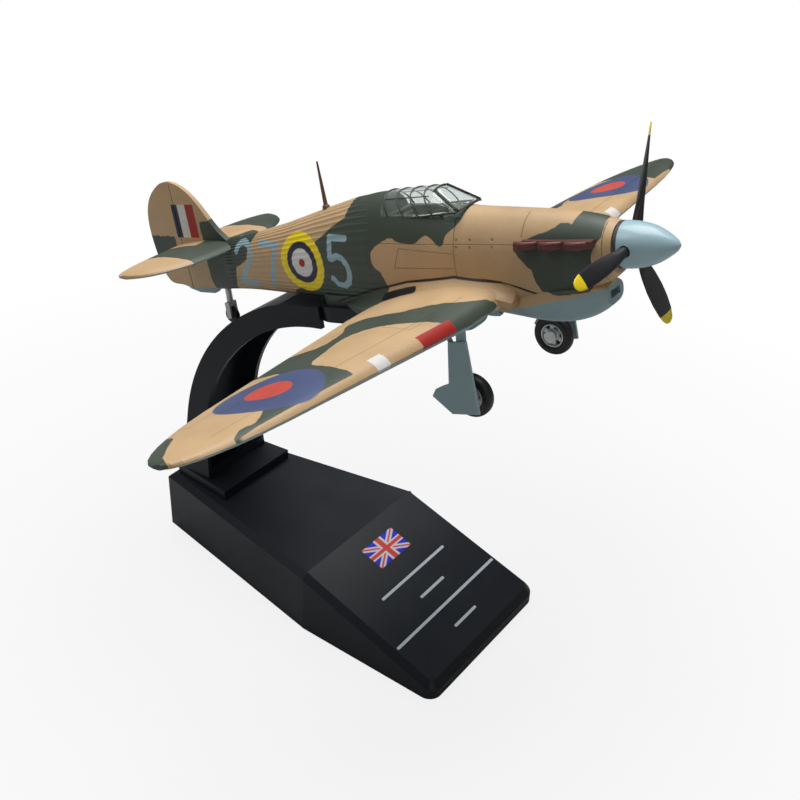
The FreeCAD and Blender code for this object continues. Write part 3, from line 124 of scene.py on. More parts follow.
# Edges of the green on the tailplane tops, as (distance from the middle, station)
NEAR_TAIL_REAR = [
    (0, -117), (4.4, -117), (4.8, -130), (12, -130), (12.6, -118), (13.2, -114), (13.6, 0),
]
FAR_TAIL_REAR = [
    (0, -113), (3, -112), (8.5, -111), (9.4, 0), (11.2, 0), (11.6, -119), (12.6, -124), (13.2, -130),
]

# Joint between the fuselage and wing castings, as (station, height)
SEAM = [(-33.5, -5.9), (-43.5, -5.0), (-55.1, -6.4), (-65.7, -9.0), (-76.0, -12.3)]

# Upper edge of the pale nose belly, panel lines and fastener heads, as (station, height)
NOSE_BELLY_TOP = [
    (-60, -20), (-36, -13), (-33.5, -12), (-24.7, -9.8), (-16.4, -8.0), (-11.9, -6.8), (0, -6),
]
SIDE_PANELS = [
    [(-64.0, 1.2), (-29.5, 1.2)], [(-43.0, 5.4), (-43.0, -4.8)], [(-28.1, 6.4), (-28.4, 2.6)],
    [(-57.6, -4.0), (-55.9, 0.3), (-42.9, -0.6)], [(-57.2, -3.6), (-43.4, -3.4)],
    [(-12.6, 5.2), (-12.9, -7.4)],
]
FASTENERS = [(-42.4, 2.0), (-42.4, 0.7), (-39.4, 2.0), (-39.4, 0.7), (-34.5, 2.1), (-34.5, 0.8)]
FASTENER_RADIUS = 0.26

# Panel lines and the dark slot by the fuselage on the wing tops, as (station, distance from the middle)
WING_PANELS = [
    [(-60.0, 12.5), (-52.2, 38.0)], [(-54.4, 38.6), (-49.2, 72.0)], [(-57.0, 38.6), (-54.4, 38.6)],
    [(-52.5, 72.0), (-49.2, 72.0)],
    [(-37.5, 30.0), (-43.5, 30.0), (-43.5, 22.0), (-37.3, 22.0), (-37.5, 30.0)],
    [(-38.0, 12.5), (-40.0, 76.0)],
]
DARK_SLOT = [(-60.6, 7.8), (-53.0, 8.2)]
EDGE_SWEEP = 0.035
PANEL_LINE_WIDTH, PANEL_LINE_SOFTNESS = 0.16, 0.08

# Roundels as (centre, outer radius): the centre as the panel lines of the same surface
SIDE_ROUNDEL = ((-83.9, -3.9), 6.5)
WING_ROUNDEL = ((-44.4, 58.9), 9.3)

# Canopy: front of the hood, foot of the windscreen, how square each is, and half the depth of its bars
HOOD_FRONT, SCREEN_FOOT = -48.1, -42.3
HOOD_ROUNDNESS, SCREEN_ROUNDNESS = 2.3, 4.5
BAR_DEPTH = 0.17

# Main wheels: axle station, distance from the middle, height
WHEEL_X, WHEEL_Y, WHEEL_Z = -37.0, 15.6, -25.0

# Printed front slope of the base: its two ends as (distance ahead of the middle, height)
SLOPE_TOP, SLOPE_FOOT = (-0.3, 16.4), (37.2, 3.9)
# Printed flag, as distances down the slope and from the middle, and the pale rules, as (across, down)
FLAG_DOWN, FLAG_ACROSS, FLAG_HALF_HEIGHT, FLAG_HALF_WIDTH = 7.7, 0.8, 3.3, 5.8
RULES = [
    [(-11.8, 16.7), (12.6, 16.7)], [(-3.9, 22.4), (4.9, 22.4)], [(-19.6, 27.4), (19.6, 27.4)],
    [(-3.9, 32.8), (4.2, 32.8)],
]

# Camera in row metres and degrees, and lamps: place, aim, size
CAMERA_PLACE = (0.1287, -0.1716, 0.1863)
CAMERA_AZIMUTH, CAMERA_ELEVATION, CAMERA_ROLL = (math.radians(angle) for angle in (34.74, 31.71, 2.41))
KEY_LAMP = ((-0.2, 0.22, 1.1), (0.0, 0.0, 0.08), 0.9)
CANOPY_LAMP = ((-0.45, -0.5, 0.75), (0.0, 0.0, 0.1), 0.35)
FILL_LAMP = ((0.9, -0.35, 0.5), (0.0, 0.0, 0.08), 0.5)


def arc(centre, reach, first, last, count=9):
    """Points on an oval: centre plus reach times the cosine and sine of angles from first to last."""
    angles = np.radians(np.linspace(first, last, count))
    return list(zip(centre[0] + reach[0] * np.cos(angles), centre[1] + reach[1] * np.sin(angles)))


# Strokes of the plain code numbers in a box one wide and one high
TWO = arc((0.5, 0.73), (0.42, 0.25), 170, -42) + [(0.06, 0.03), (0.95, 0.03)]
SEVEN = [(0.05, 0.97), (0.95, 0.97), (0.42, 0.0)]
FIVE = [(0.88, 0.97), (0.2, 0.97), (0.14, 0.56)] + arc((0.47, 0.31), (0.43, 0.31), 128, -148)
# Each number as strokes, rear edge to starboard, width, foot, head, rear edge to port
CODE_NUMBERS = [
    (TWO, -106.4, 6.2, -10.0, -0.4, -97.2), (SEVEN, -97.8, 6.2, -10.0, -0.2, -106.4),
    (FIVE, -76.0, 6.6, -8.4, 2.2, -76.0),
]
NUMBER_STROKE = 1.35


def linear(red, green, blue):
    """Screen colour from 0 to 255 as linear light."""
    share = np.array((red, green, blue)) / 255.0
    return tuple(np.where(share <= 0.04045, share / 12.92, ((share + 0.055) / 1.055) ** 2.4).tolist())


def row_place(points):
    """Aircraft millimetres to row metres: turn by the pitch, then move to the spinner tip's place."""
    points = np.asarray(points, float)
    x, y, z = points[..., 0], points[..., 1], points[..., 2]
    across = TIP_X + x * math.cos(PITCH) - z * math.sin(PITCH)
    up = TIP_Z + x * math.sin(PITCH) + z * math.cos(PITCH)
    return np.stack([across, y, up], -1) * MM


# Settings that a user would change


def colour_setting(name, description, default):
    return bpy.props.FloatVectorProperty(
        name=name, description=description, default=linear(*default), size=3, min=0, max=1, subtype="COLOR"
    )


def size_setting(name, description, millimetres):
    return bpy.props.FloatProperty(
        name=name, description=description, default=millimetres * MM, min=0, precision=5, unit="LENGTH"
    )


def in_millimetres(length):
    """Setting in metres as aircraft millimetres, rid of its rounding."""
    return round(length / MM, 4)


def lamp_setting(name, description, default):
    return bpy.props.FloatProperty(name=name, description=description, default=default, min=0, unit="POWER")


class AircraftPaint(bpy.types.PropertyGroup):
    """Colours of the aircraft's finish."""

    earth: colour_setting("Earth", "Light brown of the camouflage", (197, 165, 124))
    green: colour_setting("Green", "Dark green of the camouflage", (66, 76, 66))
    underside: colour_setting("Underside", "Pale grey blue under the wings and nose", (150, 174, 178))
    spinner: colour_setting("Spinner", "Pale blue of the spinner", (168, 198, 208))
    code: colour_setting("Code numbers", "Pale blue of the side numbers", (150, 180, 190))
    navy: colour_setting("Roundel blue", "Blue of the side roundel and fin flash", (38, 38, 66))
    yellow: colour_setting("Roundel yellow", "Yellow ring of the side roundel", (250, 222, 30))
    white: colour_setting("Marking white", "White of the markings", (222, 220, 216))
    red: colour_setting("Marking red", "Red of the markings", (168, 34, 28))
    wing_blue: colour_setting("Wing roundel blue", "Faded blue of the wing roundels", (72, 84, 122))
    wing_red: colour_setting("Wing roundel red", "Faded red of the wing roundels", (196, 78, 66))
    blade: colour_setting("Blades", "Black of the propeller blades", (30, 30, 32))
    exhaust: colour_setting("Exhaust", "Burnt red brown of the exhausts", (104, 62, 58))
    cockpit: colour_setting("Cockpit", "Dark green grey inside the cockpit", (52, 58, 50))
    framing: colour_setting("Canopy framing", "Dark olive of the canopy bars", (62, 66, 54))
    mast: colour_setting("Mast", "Brown of the wireless mast", (112, 84, 62))
    wear: bpy.props.FloatProperty(
        name="Wear", description="How uneven the paint looks", default=0.5, min=0, max=1, subtype="FACTOR"
    )


class FineSizes(bpy.types.PropertyGroup):
    """Sizes of the fine pieces, which stand in for plainer solids or lie over them."""

    ribs: bpy.props.IntProperty(
        name="Ribs", description="Ribs of the fabric skin round the rear fuselage", default=46, min=8
    )
    rib_height: size_setting("Rib height", "How far the ribs of the fabric skin stand out", 0.11)
    blade_length: size_setting("Blade length", "Length of a propeller blade from its root", 19.6)
    glazing: size_setting("Glazing", "Thickness of the clear canopy panes", 0.25)
    tyre_radius: size_setting("Tyre radius", "Outer radius of a main tyre", 4.4)
    tyre_width: size_setting("Tyre width", "Width of a main tyre", 2.4)
    hub_slots: bpy.props.IntProperty(
        name="Hub slots", description="Slots pressed into each side of a main wheel", default=6, min=0
    )


class StandFinish(bpy.types.PropertyGroup):
    """Colours of the stand and its printed plate."""

    plastic: colour_setting("Plastic", "Black of the moulded stand", (24, 28, 34))
    print_pale: colour_setting("Print", "Pale grey of the printed rules", (196, 204, 212))
    flag_blue: colour_setting("Flag blue", "Blue of the printed flag", (26, 28, 190))
    flag_red: colour_setting("Flag red", "Red of the printed flag", (212, 62, 36))


class StudioSettings(bpy.types.PropertyGroup):
    """Lamps, backdrop and camera."""

    key_watts: lamp_setting("Key lamp", "Power of the large lamp", 15.0)
    fill_watts: lamp_setting("Fill lamp", "Power of the side lamp", 0.7)
    canopy_watts: lamp_setting("Canopy lamp", "Power of the lamp mirrored in the canopy", 1.2)
    sky: bpy.props.FloatProperty(
        name="Sky", description="Strength of the soft surrounding light", default=0.1, min=0
    )
    focal_length: bpy.props.FloatProperty(
        name="Focal length", description="Lens length on a 36 mm sensor", default=50.42, min=1, unit="CAMERA"
    )


# Shader building


class Graph:
    """Adds and joins shader nodes in one node tree."""

    def __init__(self, tree):
        self.tree = tree

    def node(self, kind, **settings):
        made = self.tree.nodes.new(kind)
        for name, value in settings.items():
            setattr(made, name, value)
        return made

    def feed(self, socket, value):
        if isinstance(value, bpy.types.NodeSocket):
            self.tree.links.new(value, socket)
        else:
            socket.default_value = value

    def math(self, operation, *values, clamp=False):
        made = self.node("ShaderNodeMath", operation=operation, use_clamp=clamp)
        for socket, value in zip(made.inputs, values):
            self.feed(socket, value)
        return made.outputs[0]

    def vector(self, operation, *values, result=0):
        made = self.node("ShaderNodeVectorMath", operation=operation)
        for socket, value in zip(made.inputs, values):
            self.feed(socket, value)
        return made.outputs[result]

    def split(self, vector):
        made = self.node("ShaderNodeSeparateXYZ")
        self.feed(made.inputs[0], vector)
        return made.outputs[0], made.outputs[1], made.outputs[2]

    def join(self, x, y, z=0.0):
        made = self.node("ShaderNodeCombineXYZ")
        for socket, value in zip(made.inputs, (x, y, z)):
            self.feed(socket, value)
        return made.outputs[0]

    def mix(self, share, low, high):
        made = self.node("ShaderNodeMix", data_type="RGBA")
        self.feed(made.inputs[0], share)
        for socket, value in ((made.inputs[6], low), (made.inputs[7], high)):
            self.feed(socket, value if isinstance(value, bpy.types.NodeSocket) else (*value, 1.0))
        return made.outputs[2]

    def step(self, value, edge, softness=0.12):
        """Mask that rises from 0 to 1 as the value passes the edge."""
        made = self.node("ShaderNodeMapRange", interpolation_type="SMOOTHSTEP")
        low, high = edge - softness, edge + softness
        for name, entry in (("Value", value), ("From Min", low), ("From Max", high)):
            self.feed(made.inputs[name], entry)
        return made.outputs[0]

    def below(self, value, edge, softness=0.12):
        """Mask that falls from 1 to 0 as the value passes the edge."""
        return self.math("SUBTRACT", 1.0, self.step(value, edge, softness))

    def within(self, value, low, high, softness=0.12):
        """Mask of a value between two edges."""
        return self.both(self.step(value, low, softness), self.below(value, high, softness))

    def choose(self, share, low, high):
        """Value that goes from low to high with the share."""
        made = self.node("ShaderNodeMix", data_type="FLOAT")
        for socket, value in zip((made.inputs[0], made.inputs[2], made.inputs[3]), (share, low, high)):
            self.feed(socket, value)
        return made.outputs[0]

    def scale(self, value, low, high, to_low=0.0, to_high=1.0):
        """Value carried from one range to another and held at its ends."""
        made = self.node("ShaderNodeMapRange")
        names = ("Value", "From Min", "From Max", "To Min", "To Max")
        for name, entry in zip(names, (value, low, high, to_low, to_high)):
            self.feed(made.inputs[name], entry)
        return made.outputs[0]

    def curve(self, value, points, low, high, bottom, top):
        """Value looked up on a line of (place, height) points."""
        made = self.node("ShaderNodeFloatCurve")
        line = made.mapping.curves[0]
        line.points[0].location = (0.0, (points[0][1] - bottom) / (top - bottom))
        line.points[1].location = (1.0, (points[-1][1] - bottom) / (top - bottom))
        for place, height in points:
            share = (place - low) / (high - low)
            if 0.0 < share < 1.0:
                line.points.new(share, (height - bottom) / (top - bottom))
        for point in line.points:
            point.handle_type = "VECTOR"
        made.mapping.update()
        self.feed(made.inputs["Value"], self.scale(value, low, high))
        return self.scale(made.outputs[0], 0.0, 1.0, bottom, top)

    def noise(self, place, size, detail=2.0):
        made = self.node("ShaderNodeTexNoise")
        self.feed(made.inputs["Vector"], place)
        made.inputs["Scale"].default_value = 1.0 / size
        made.inputs["Detail"].default_value = detail
        return made.outputs["Fac"]

    def group(self, tree, **values):
        made = self.node("ShaderNodeGroup", node_tree=tree)
        for name, value in values.items():
            self.feed(made.inputs[name.replace("_", " ")], value)
        return made

    def both(self, *masks):
        result = masks[0]
        for mask in masks[1:]:
            result = self.math("MULTIPLY", result, mask)
        return result

    def either(self, *masks):
        result = masks[0]
        for mask in masks[1:]:
            result = self.math("MAXIMUM", result, mask)
        return result

    def without(self, mask, other):
        return self.math("MULTIPLY", mask, self.math("SUBTRACT", 1.0, other))

    def seen_directly(self):
        """Mask of what the camera sees, straight or through the clear canopy."""
        path = self.node("ShaderNodeLightPath")
        return self.either(path.outputs["Is Camera Ray"], path.outputs["Is Transmission Ray"])

    def finish_with(self, end, share, low, high):
        """Mixes two shaders by a share into the socket at the end of the tree."""
        made = self.node("ShaderNodeMixShader")
        for socket, value in zip(made.inputs, (share, low, high)):
            self.feed(socket, value)
        self.feed(end, made.outputs[0])


def new_group(name, inputs, outputs):
    """Empty shader node group with named sockets, its graph and its two end nodes."""
    tree = bpy.data.node_groups.new(name, "ShaderNodeTree")
    kinds = {"v": "NodeSocketVector", "f": "NodeSocketFloat", "c": "NodeSocketColor"}
    for direction, sockets in (("INPUT", inputs), ("OUTPUT", outputs)):
        for socket_name, kind in sockets:
            tree.interface.new_socket(name=socket_name, in_out=direction, socket_type=kinds[kind])
    graph = Graph(tree)
    return tree, graph, graph.node("NodeGroupInput"), graph.node("NodeGroupOutput")


def make_place_group():
    """Aircraft millimetres and the surface's facing in aircraft axes."""
    tree, graph, _, out = new_group("aircraft_place", [], [("Place", "v"), ("Facing", "v")])
    coordinates = graph.node("ShaderNodeTexCoord")
    turned = graph.node("ShaderNodeMapping", vector_type="TEXTURE")
    turned.inputs["Location"].default_value = (TIP_X * MM, 0, TIP_Z * MM)
    turned.inputs["Rotation"].default_value = (0, -PITCH, 0)
    turned.inputs["Scale"].default_value = (MM, MM, MM)
    graph.feed(turned.inputs["Vector"], coordinates.outputs["Object"])
    facing = graph.node("ShaderNodeMapping", vector_type="TEXTURE")
    facing.inputs["Rotation"].default_value = (0, -PITCH, 0)
    graph.feed(facing.inputs["Vector"], coordinates.outputs["Normal"])
    graph.feed(out.inputs["Place"], turned.outputs[0])
    graph.feed(out.inputs["Facing"], facing.outputs[0])
    return tree


def make_stroke_group():
    """Distance from a point to a straight stroke between two ends."""
    tree, graph, given, out = new_group(
        "stroke_distance", [("Point", "v"), ("Start", "v"), ("End", "v")], [("Distance", "f")]
    )
    along = graph.vector("SUBTRACT", given.outputs["End"], given.outputs["Start"])
    offset = graph.vector("SUBTRACT", given.outputs["Point"], given.outputs["Start"])
    length = graph.vector("DOT_PRODUCT", along, along, result=1)
    share = graph.math("DIVIDE", graph.vector("DOT_PRODUCT", offset, along, result=1), length, clamp=True)
    scaled = graph.node("ShaderNodeVectorMath", operation="SCALE")
    graph.feed(scaled.inputs[0], along)
    graph.feed(scaled.inputs["Scale"], share)
    distance = graph.vector("DISTANCE", offset, scaled.outputs[0], result=1)
    graph.feed(out.inputs["Distance"], distance)
    return tree


def stroke_mask(graph, point, ends, width, softness=0.1):
    """Mask of a line of joined strokes."""
    nearest = None
    for start, end in zip(ends[:-1], ends[1:]):
        made = graph.group(GROUPS["stroke"], Point=point, Start=(*start, 0), End=(*end, 0)).outputs[0]
        nearest = made if nearest is None else graph.math("MINIMUM", nearest, made)
    return graph.below(nearest, width / 2, softness)


def lines_mask(graph, point, lines, width=PANEL_LINE_WIDTH, softness=PANEL_LINE_SOFTNESS):
    """Mask of several lines of joined strokes."""
    return graph.either(*[stroke_mask(graph, point, ends, width, softness) for ends in lines])


def number_mask(graph, place, digit, left, width, low, high, port_left):
    """Mask of a plain number, turned about on the port side so that it reads forwards there too."""
    x, y, z = graph.split(place)
    forward = graph.scale(x, left, left + width)
    backward = graph.scale(x, port_left + width, port_left)
    for made in (forward, backward):
        made.node.clamp = False
    across = graph.choose(graph.step(y, 0.0, 0.01), forward, backward)
    point = graph.join(graph.math("MULTIPLY", across, width), graph.math("SUBTRACT", z, low))
    return stroke_mask(graph, point, [(u * width, v * (high - low)) for u, v in digit], NUMBER_STROKE)


def make_roundel_group():
    """Ring masks round a centre: how far out a point is, as a share of the outer radius."""
    tree, graph, given, out = new_group(
        "roundel_reach", [("Point", "v"), ("Centre", "v"), ("Radius", "f")], [("Reach", "f")]
    )
    distance = graph.vector("DISTANCE", given.outputs["Point"], given.outputs["Centre"], result=1)
    graph.feed(out.inputs["Reach"], graph.math("DIVIDE", distance, given.outputs["Radius"]))
    return tree


def paint_rings(graph, colour, point, roundel, rings, where=None):
    """Discs of a roundel laid over a colour, largest first, each a share of the outer radius."""
    centre, radius = roundel
    reach = graph.group(GROUPS["roundel"], Point=point, Centre=(*centre, 0), Radius=radius).outputs[0]
    for share, tone in rings:
        disc = graph.below(reach, share, 0.02)
        if where is not None:
            disc = graph.both(disc, where)
        colour = graph.mix(disc, colour, tuple(tone))
    return colour


def between(graph, x, height, top_line, low_line, low, high):
    """Mask of heights under one drawn edge and over another, for stations from low to high."""
    top = graph.curve(x, top_line, low, high, -20, 20)
    bottom = graph.curve(x, low_line, low, high, -20, 20)
    under_top = graph.step(graph.math("SUBTRACT", top, height), 0.0)
    over_bottom = graph.step(graph.math("SUBTRACT", height, bottom), 0.0)
    return graph.both(under_top, over_bottom)


def make_side_green_group():
    """Green of the camouflage seen from the side: between drawn edges, with a slightly brushed outline."""
    tree, graph, given, out = new_group("side_camouflage", [("Place", "v")], [("Green", "f")])
    place = given.outputs["Place"]
    ragged = graph.scale(graph.noise(place, 2.4), 0.0, 1.0, -0.35, 0.35)
    x, y, z = graph.split(place)
    far_shift = graph.scale(y, 0.5, 4.5, 0.0, 3.5)
    x = graph.math("ADD", graph.math("ADD", x, ragged), far_shift)
    z = graph.math("ADD", z, ragged)
    tail = between(graph, x, z, TAIL_GREEN_TOP, TAIL_GREEN_LOW, -120, -95)
    middle_top = graph.curve(x, MIDDLE_GREEN_TOP, -95, -65, -20, 20)
    middle = graph.step(graph.math("SUBTRACT", middle_top, z), 0.0)
    bay = between(graph, x, z, TAN_BAY_TOP, TAN_BAY_LOW, -65, -35)
    nose = between(graph, x, z, NOSE_GREEN_TOP, NOSE_GREEN_LOW, -32, -12)
    graph.feed(out.inputs["Green"], graph.either(tail, nose, graph.without(middle, bay)))
    return tree


def make_top_green_group(name, near, far, low, high):
    """Green of the camouflage seen from above, with one set of edges for each side."""
    tree, graph, given, out = new_group(name, [("Place", "v")], [("Green", "f")])
    place = given.outputs["Place"]
    ragged = graph.scale(graph.noise(place, 3.0), 0.0, 1.0, -0.5, 0.5)
    x, y, z = graph.split(place)
    side = graph.step(y, 0.0, 0.01)
    reach = graph.math("ADD", graph.math("ABSOLUTE", y), ragged)
    x = graph.math("ADD", x, ragged)
    masks = []
    for rear, front, tip in (near, far):
        inside = graph.step(graph.math("SUBTRACT", x, graph.curve(reach, rear, 0, 90, low, high)), 0.0)
        if front:
            ahead = graph.curve(reach, front, 0, 90, low, high)
            inside = graph.both(inside, graph.step(graph.math("SUBTRACT", ahead, x), 0.0))
        if tip:
            behind = graph.curve(reach, tip, 0, 90, low, high)
            inside = graph.either(inside, graph.step(graph.math("SUBTRACT", behind, x), 0.0))
        masks.append(inside)
    graph.feed(out.inputs["Green"], graph.choose(side, *masks))
    return tree


def make_finish_group():
    """Brushed unevenness for a painted or moulded surface: mottled colour, roughness and a fine height."""
    tree, graph, given, out = new_group(
        "surface_finish",
        [("Colour", "c"), ("Place", "v"), ("Mottle", "f"), ("Gloss", "f")],
        [("Colour", "c"), ("Roughness", "f"), ("Height", "f")],
    )
    broad = graph.noise(given.outputs["Place"], 7.0, 3.0)
    fine = graph.noise(given.outputs["Place"], 0.45, 2.0)
    shade = graph.math("ADD", graph.scale(broad, 0.3, 0.7, -0.5, 0.5), graph.scale(fine, 0.3, 0.7, -0.3, 0.3))
    shade = graph.math("MULTIPLY", shade, given.outputs["Mottle"])
    bright = graph.math("ADD", 1.0, graph.math("MULTIPLY", shade, 0.22))
    varied = graph.node("ShaderNodeVectorMath", operation="SCALE")
    graph.feed(varied.inputs[0], given.outputs["Colour"])
    graph.feed(varied.inputs["Scale"], bright)
    graph.feed(out.inputs["Colour"], varied.outputs[0])
    rough = graph.math("ADD", given.outputs["Gloss"], graph.scale(broad, 0.3, 0.7, -0.06, 0.06))
    graph.feed(out.inputs["Roughness"], rough)
    graph.feed(out.inputs["Height"], fine)
    return tree


GROUPS = {}


def make_groups():
    GROUPS["place"] = make_place_group()
    GROUPS["stroke"] = make_stroke_group()
    GROUPS["roundel"] = make_roundel_group()
    GROUPS["side"] = make_side_green_group()
    GROUPS["wing"] = make_top_green_group(
        "wing_camouflage",
        (NEAR_BAND_REAR, NEAR_BAND_FRONT, NEAR_TIP_GREEN), (FAR_BAND_REAR, None, FAR_TIP_GREEN), -70, 0,
    )
    GROUPS["tail"] = make_top_green_group(
        "tail_camouflage", (NEAR_TAIL_REAR, None, None), (FAR_TAIL_REAR, None, None), -130, 0,
    )
    GROUPS["finish"] = make_finish_group()


def new_material(name):
    """Material with its graph and an empty principled shader."""
    material = bpy.data.materials.new(name)
    material.use_nodes = True
    graph = Graph(material.node_tree)
    shader = material.node_tree.nodes["Principled BSDF"]
    return material, graph, shader


def finish_surface(graph, shader, place, colour, mottle, gloss, height=None, depth=0.02):
    """Joins a colour through the shared finish to the shader, with any drawn height added to the fine one."""
    finish = graph.group(GROUPS["finish"], Place=place, Mottle=mottle, Gloss=gloss)
    painted = colour if isinstance(colour, bpy.types.NodeSocket) else (*colour, 1.0)
    graph.feed(finish.inputs["Colour"], painted)
    graph.feed(shader.inputs["Base Color"], finish.outputs["Colour"])
    graph.feed(shader.inputs["Roughness"], finish.outputs["Roughness"])
    bump = graph.node("ShaderNodeBump")
    bump.inputs["Distance"].default_value = 0.0002
    bump.inputs["Strength"].default_value = 0.6
    total = graph.math("MULTIPLY", finish.outputs["Height"], depth)
    if height is not None:
        total = graph.math("ADD", total, height)
    graph.feed(bump.inputs["Height"], total)
    graph.feed(shader.inputs["Normal"], bump.outputs[0])


def plain_material(name, colour, mottle=0.4, gloss=0.5, metal=0.0, coat=0.0, depth=0.05, shine=0.5):
    """Moulded, painted or metal finish of one colour with mottling and a fine grain."""
    material, graph, shader = new_material(name)
    shader.inputs["Specular IOR Level"].default_value = shine
    place = graph.group(GROUPS["place"]).outputs["Place"]
    finish_surface(graph, shader, place, tuple(colour), mottle, gloss, depth=depth)
    shader.inputs["Metallic"].default_value = metal
    shader.inputs["Coat Weight"].default_value = coat
    return material


def fuselage_material(name, paint):
    """Side camouflage with roundel, numbers, fin flash, panel lines and a pale belly."""
    material, graph, shader = new_material(name)
    start = graph.group(GROUPS["place"])
    place, facing = start.outputs["Place"], start.outputs["Facing"]
    x, y, z = graph.split(place)
    side_point = graph.join(x, z)
    green = graph.group(GROUPS["side"], Place=place).outputs[0]
    rudder_foot = graph.both(
        graph.below(x, -127.8, 0.2), graph.step(z, -8.0, 0.2),
        graph.below(graph.math("ADD", z, graph.noise(place, 1.6)), 0.4, 0.2),
    )
    green = graph.either(green, rudder_foot)
    colour = graph.mix(green, tuple(paint.earth), tuple(paint.green))
    _, level, upward = graph.split(facing)
    belly = graph.below(upward, -0.86, 0.05)
    keel = graph.both(graph.step(graph.math("MULTIPLY", x, -1.0), 116.4, 0.1), graph.below(z, -12.6, 0.25))
    nose_line = graph.curve(x, NOSE_BELLY_TOP, -60, 0, -20, 20)
    chin = graph.step(graph.math("SUBTRACT", nose_line, z), 0.0, 0.1)
    colour = graph.mix(graph.either(belly, keel, chin), colour, tuple(paint.underside))
    on_side = graph.step(graph.math("ABSOLUTE", level), 0.25, 0.1)
    numbers = graph.either(*[number_mask(graph, place, *number) for number in CODE_NUMBERS])
    colour = graph.mix(graph.both(numbers, on_side), colour, tuple(paint.code))
    rings = ((1.0, paint.yellow), (0.7, paint.navy), (0.48, paint.white), (0.14, paint.red))
    colour = paint_rings(graph, colour, side_point, SIDE_ROUNDEL, rings, on_side)
    # fin flash of three upright bars
    in_flash = graph.both(graph.within(x, -126.7, -119.2, 0.1), graph.within(z, -0.3, 7.6, 0.1))
    flash = graph.mix(graph.step(x, -124.6, 0.08), tuple(paint.navy), tuple(paint.white))
    flash = graph.mix(graph.step(x, -122.0, 0.08), flash, tuple(paint.red))
    colour = graph.mix(in_flash, colour, flash)
    seam = stroke_mask(graph, side_point, SEAM, 0.4, 0.12)
    colour = graph.mix(graph.both(seam, on_side), colour, linear(34, 22, 14))
    # panel lines and fastener heads
    marks = lines_mask(graph, side_point, SIDE_PANELS)
    for spot in FASTENERS:
        distance = graph.vector("DISTANCE", side_point, (*spot, 0.0), result=1)
        marks = graph.either(marks, graph.below(distance, FASTENER_RADIUS, 0.1))
    marks = graph.both(marks, on_side)
    colour = graph.mix(graph.math("MULTIPLY", marks, 0.5), colour, linear(60, 48, 36))
    finish_surface(graph, shader, place, colour, paint.wear, 0.5, graph.math("MULTIPLY", marks, -0.8), 0.05)
    return material


def wing_material(name, paint, green_group, roundels):
    """Top camouflage over a pale underside, with roundels and leading edge patches."""
    material, graph, shader = new_material(name)
    start = graph.group(GROUPS["place"])
    place, facing = start.outputs["Place"], start.outputs["Facing"]
    x, y, z = graph.split(place)
    green = graph.group(GROUPS[green_group], Place=place).outputs[0]
    reach_out = graph.math("ABSOLUTE", y)
    if roundels:
        # the root fillet and the casting's rear follow the fuselage side
        rear_line = graph.math("ADD", x, graph.math("MULTIPLY", reach_out, 0.55))
        rear_green = graph.both(graph.below(rear_line, -56.4, 0.15), graph.below(reach_out, 12.6, 0.2))
        green = graph.either(green, rear_green)
        front = graph.math("ADD", x, graph.math("MULTIPLY", reach_out, EDGE_SWEEP))
        bare_edge = graph.both(graph.step(front, -33.4, 0.1), graph.within(reach_out, 47.0, 74.0, 0.5))
        green = graph.without(green, bare_edge)
    colour = graph.mix(green, tuple(paint.earth), tuple(paint.green))
    marks = None
    if roundels:
        point = graph.join(x, reach_out)
        rings = ((1.0, paint.wing_blue), (0.43, paint.wing_red))
        colour = paint_rings(graph, colour, point, WING_ROUNDEL, rings)
        for edge, inner, outer, tone in ((-34.6, 40.6, 43.9, paint.white), (-34.0, 22.2, 31.8, paint.red)):
            patch = graph.both(graph.step(front, edge, 0.08), graph.within(reach_out, inner, outer, 0.1))
            colour = graph.mix(patch, colour, tuple(tone))
        dark_slot = stroke_mask(graph, point, DARK_SLOT, 1.7, 0.15)
        colour = graph.mix(dark_slot, colour, linear(22, 22, 22))
        joint = stroke_mask(graph, graph.join(x, z), [(-24.3, -9.4), (-31.8, -6.2), *SEAM], 0.5, 0.12)
        colour = graph.mix(graph.both(joint, graph.below(reach_out, 9.5, 0.2)), colour, linear(34, 22, 14))
        marks = lines_mask(graph, point, WING_PANELS)
        colour = graph.mix(graph.math("MULTIPLY", marks, 0.35), colour, linear(60, 52, 42))
    upward = graph.split(facing)[2]
    under = graph.below(upward, -0.6, 0.12)
    if roundels:
        # under the rear fuselage the camouflage comes down to the belly
        outboard = graph.either(graph.step(reach_out, 12.0, 0.3), graph.below(upward, -0.75, 0.1))
        under = graph.both(under, outboard)
    colour = graph.mix(under, colour, tuple(paint.underside))
    height = None if marks is None else graph.math("MULTIPLY", marks, -0.8)
    finish_surface(graph, shader, place, colour, paint.wear, 0.5, height, 0.05)
    return material


def blade_material(paint):
    """Black blades whose ends are yellow past a radius from the shaft line."""
    material, graph, shader = new_material("propeller_paint")
    place = graph.group(GROUPS["place"]).outputs["Place"]
    x, y, z = graph.split(place)
    radius = graph.vector("LENGTH", graph.join(y, z), result=1)
    tip = graph.step(radius, 19.0, 0.1)
    colour = graph.mix(tip, tuple(paint.blade), tuple(paint.yellow))
    finish_surface(graph, shader, place, colour, 0.3, 0.42, depth=0.03)
    return material


def glass_material():
    """Clear canopy moulding."""
    material, graph, shader = new_material("canopy_clear")
    place = graph.group(GROUPS["place"]).outputs["Place"]
    haze = graph.scale(graph.noise(place, 1.5), 0.3, 0.7, 0.01, 0.04)
    shader.inputs["Base Color"].default_value = (*linear(236, 242, 240), 1)
    shader.inputs["Transmission Weight"].default_value = 0.95
    shader.inputs["IOR"].default_value = 1.3
    graph.feed(shader.inputs["Roughness"], haze)
    return material


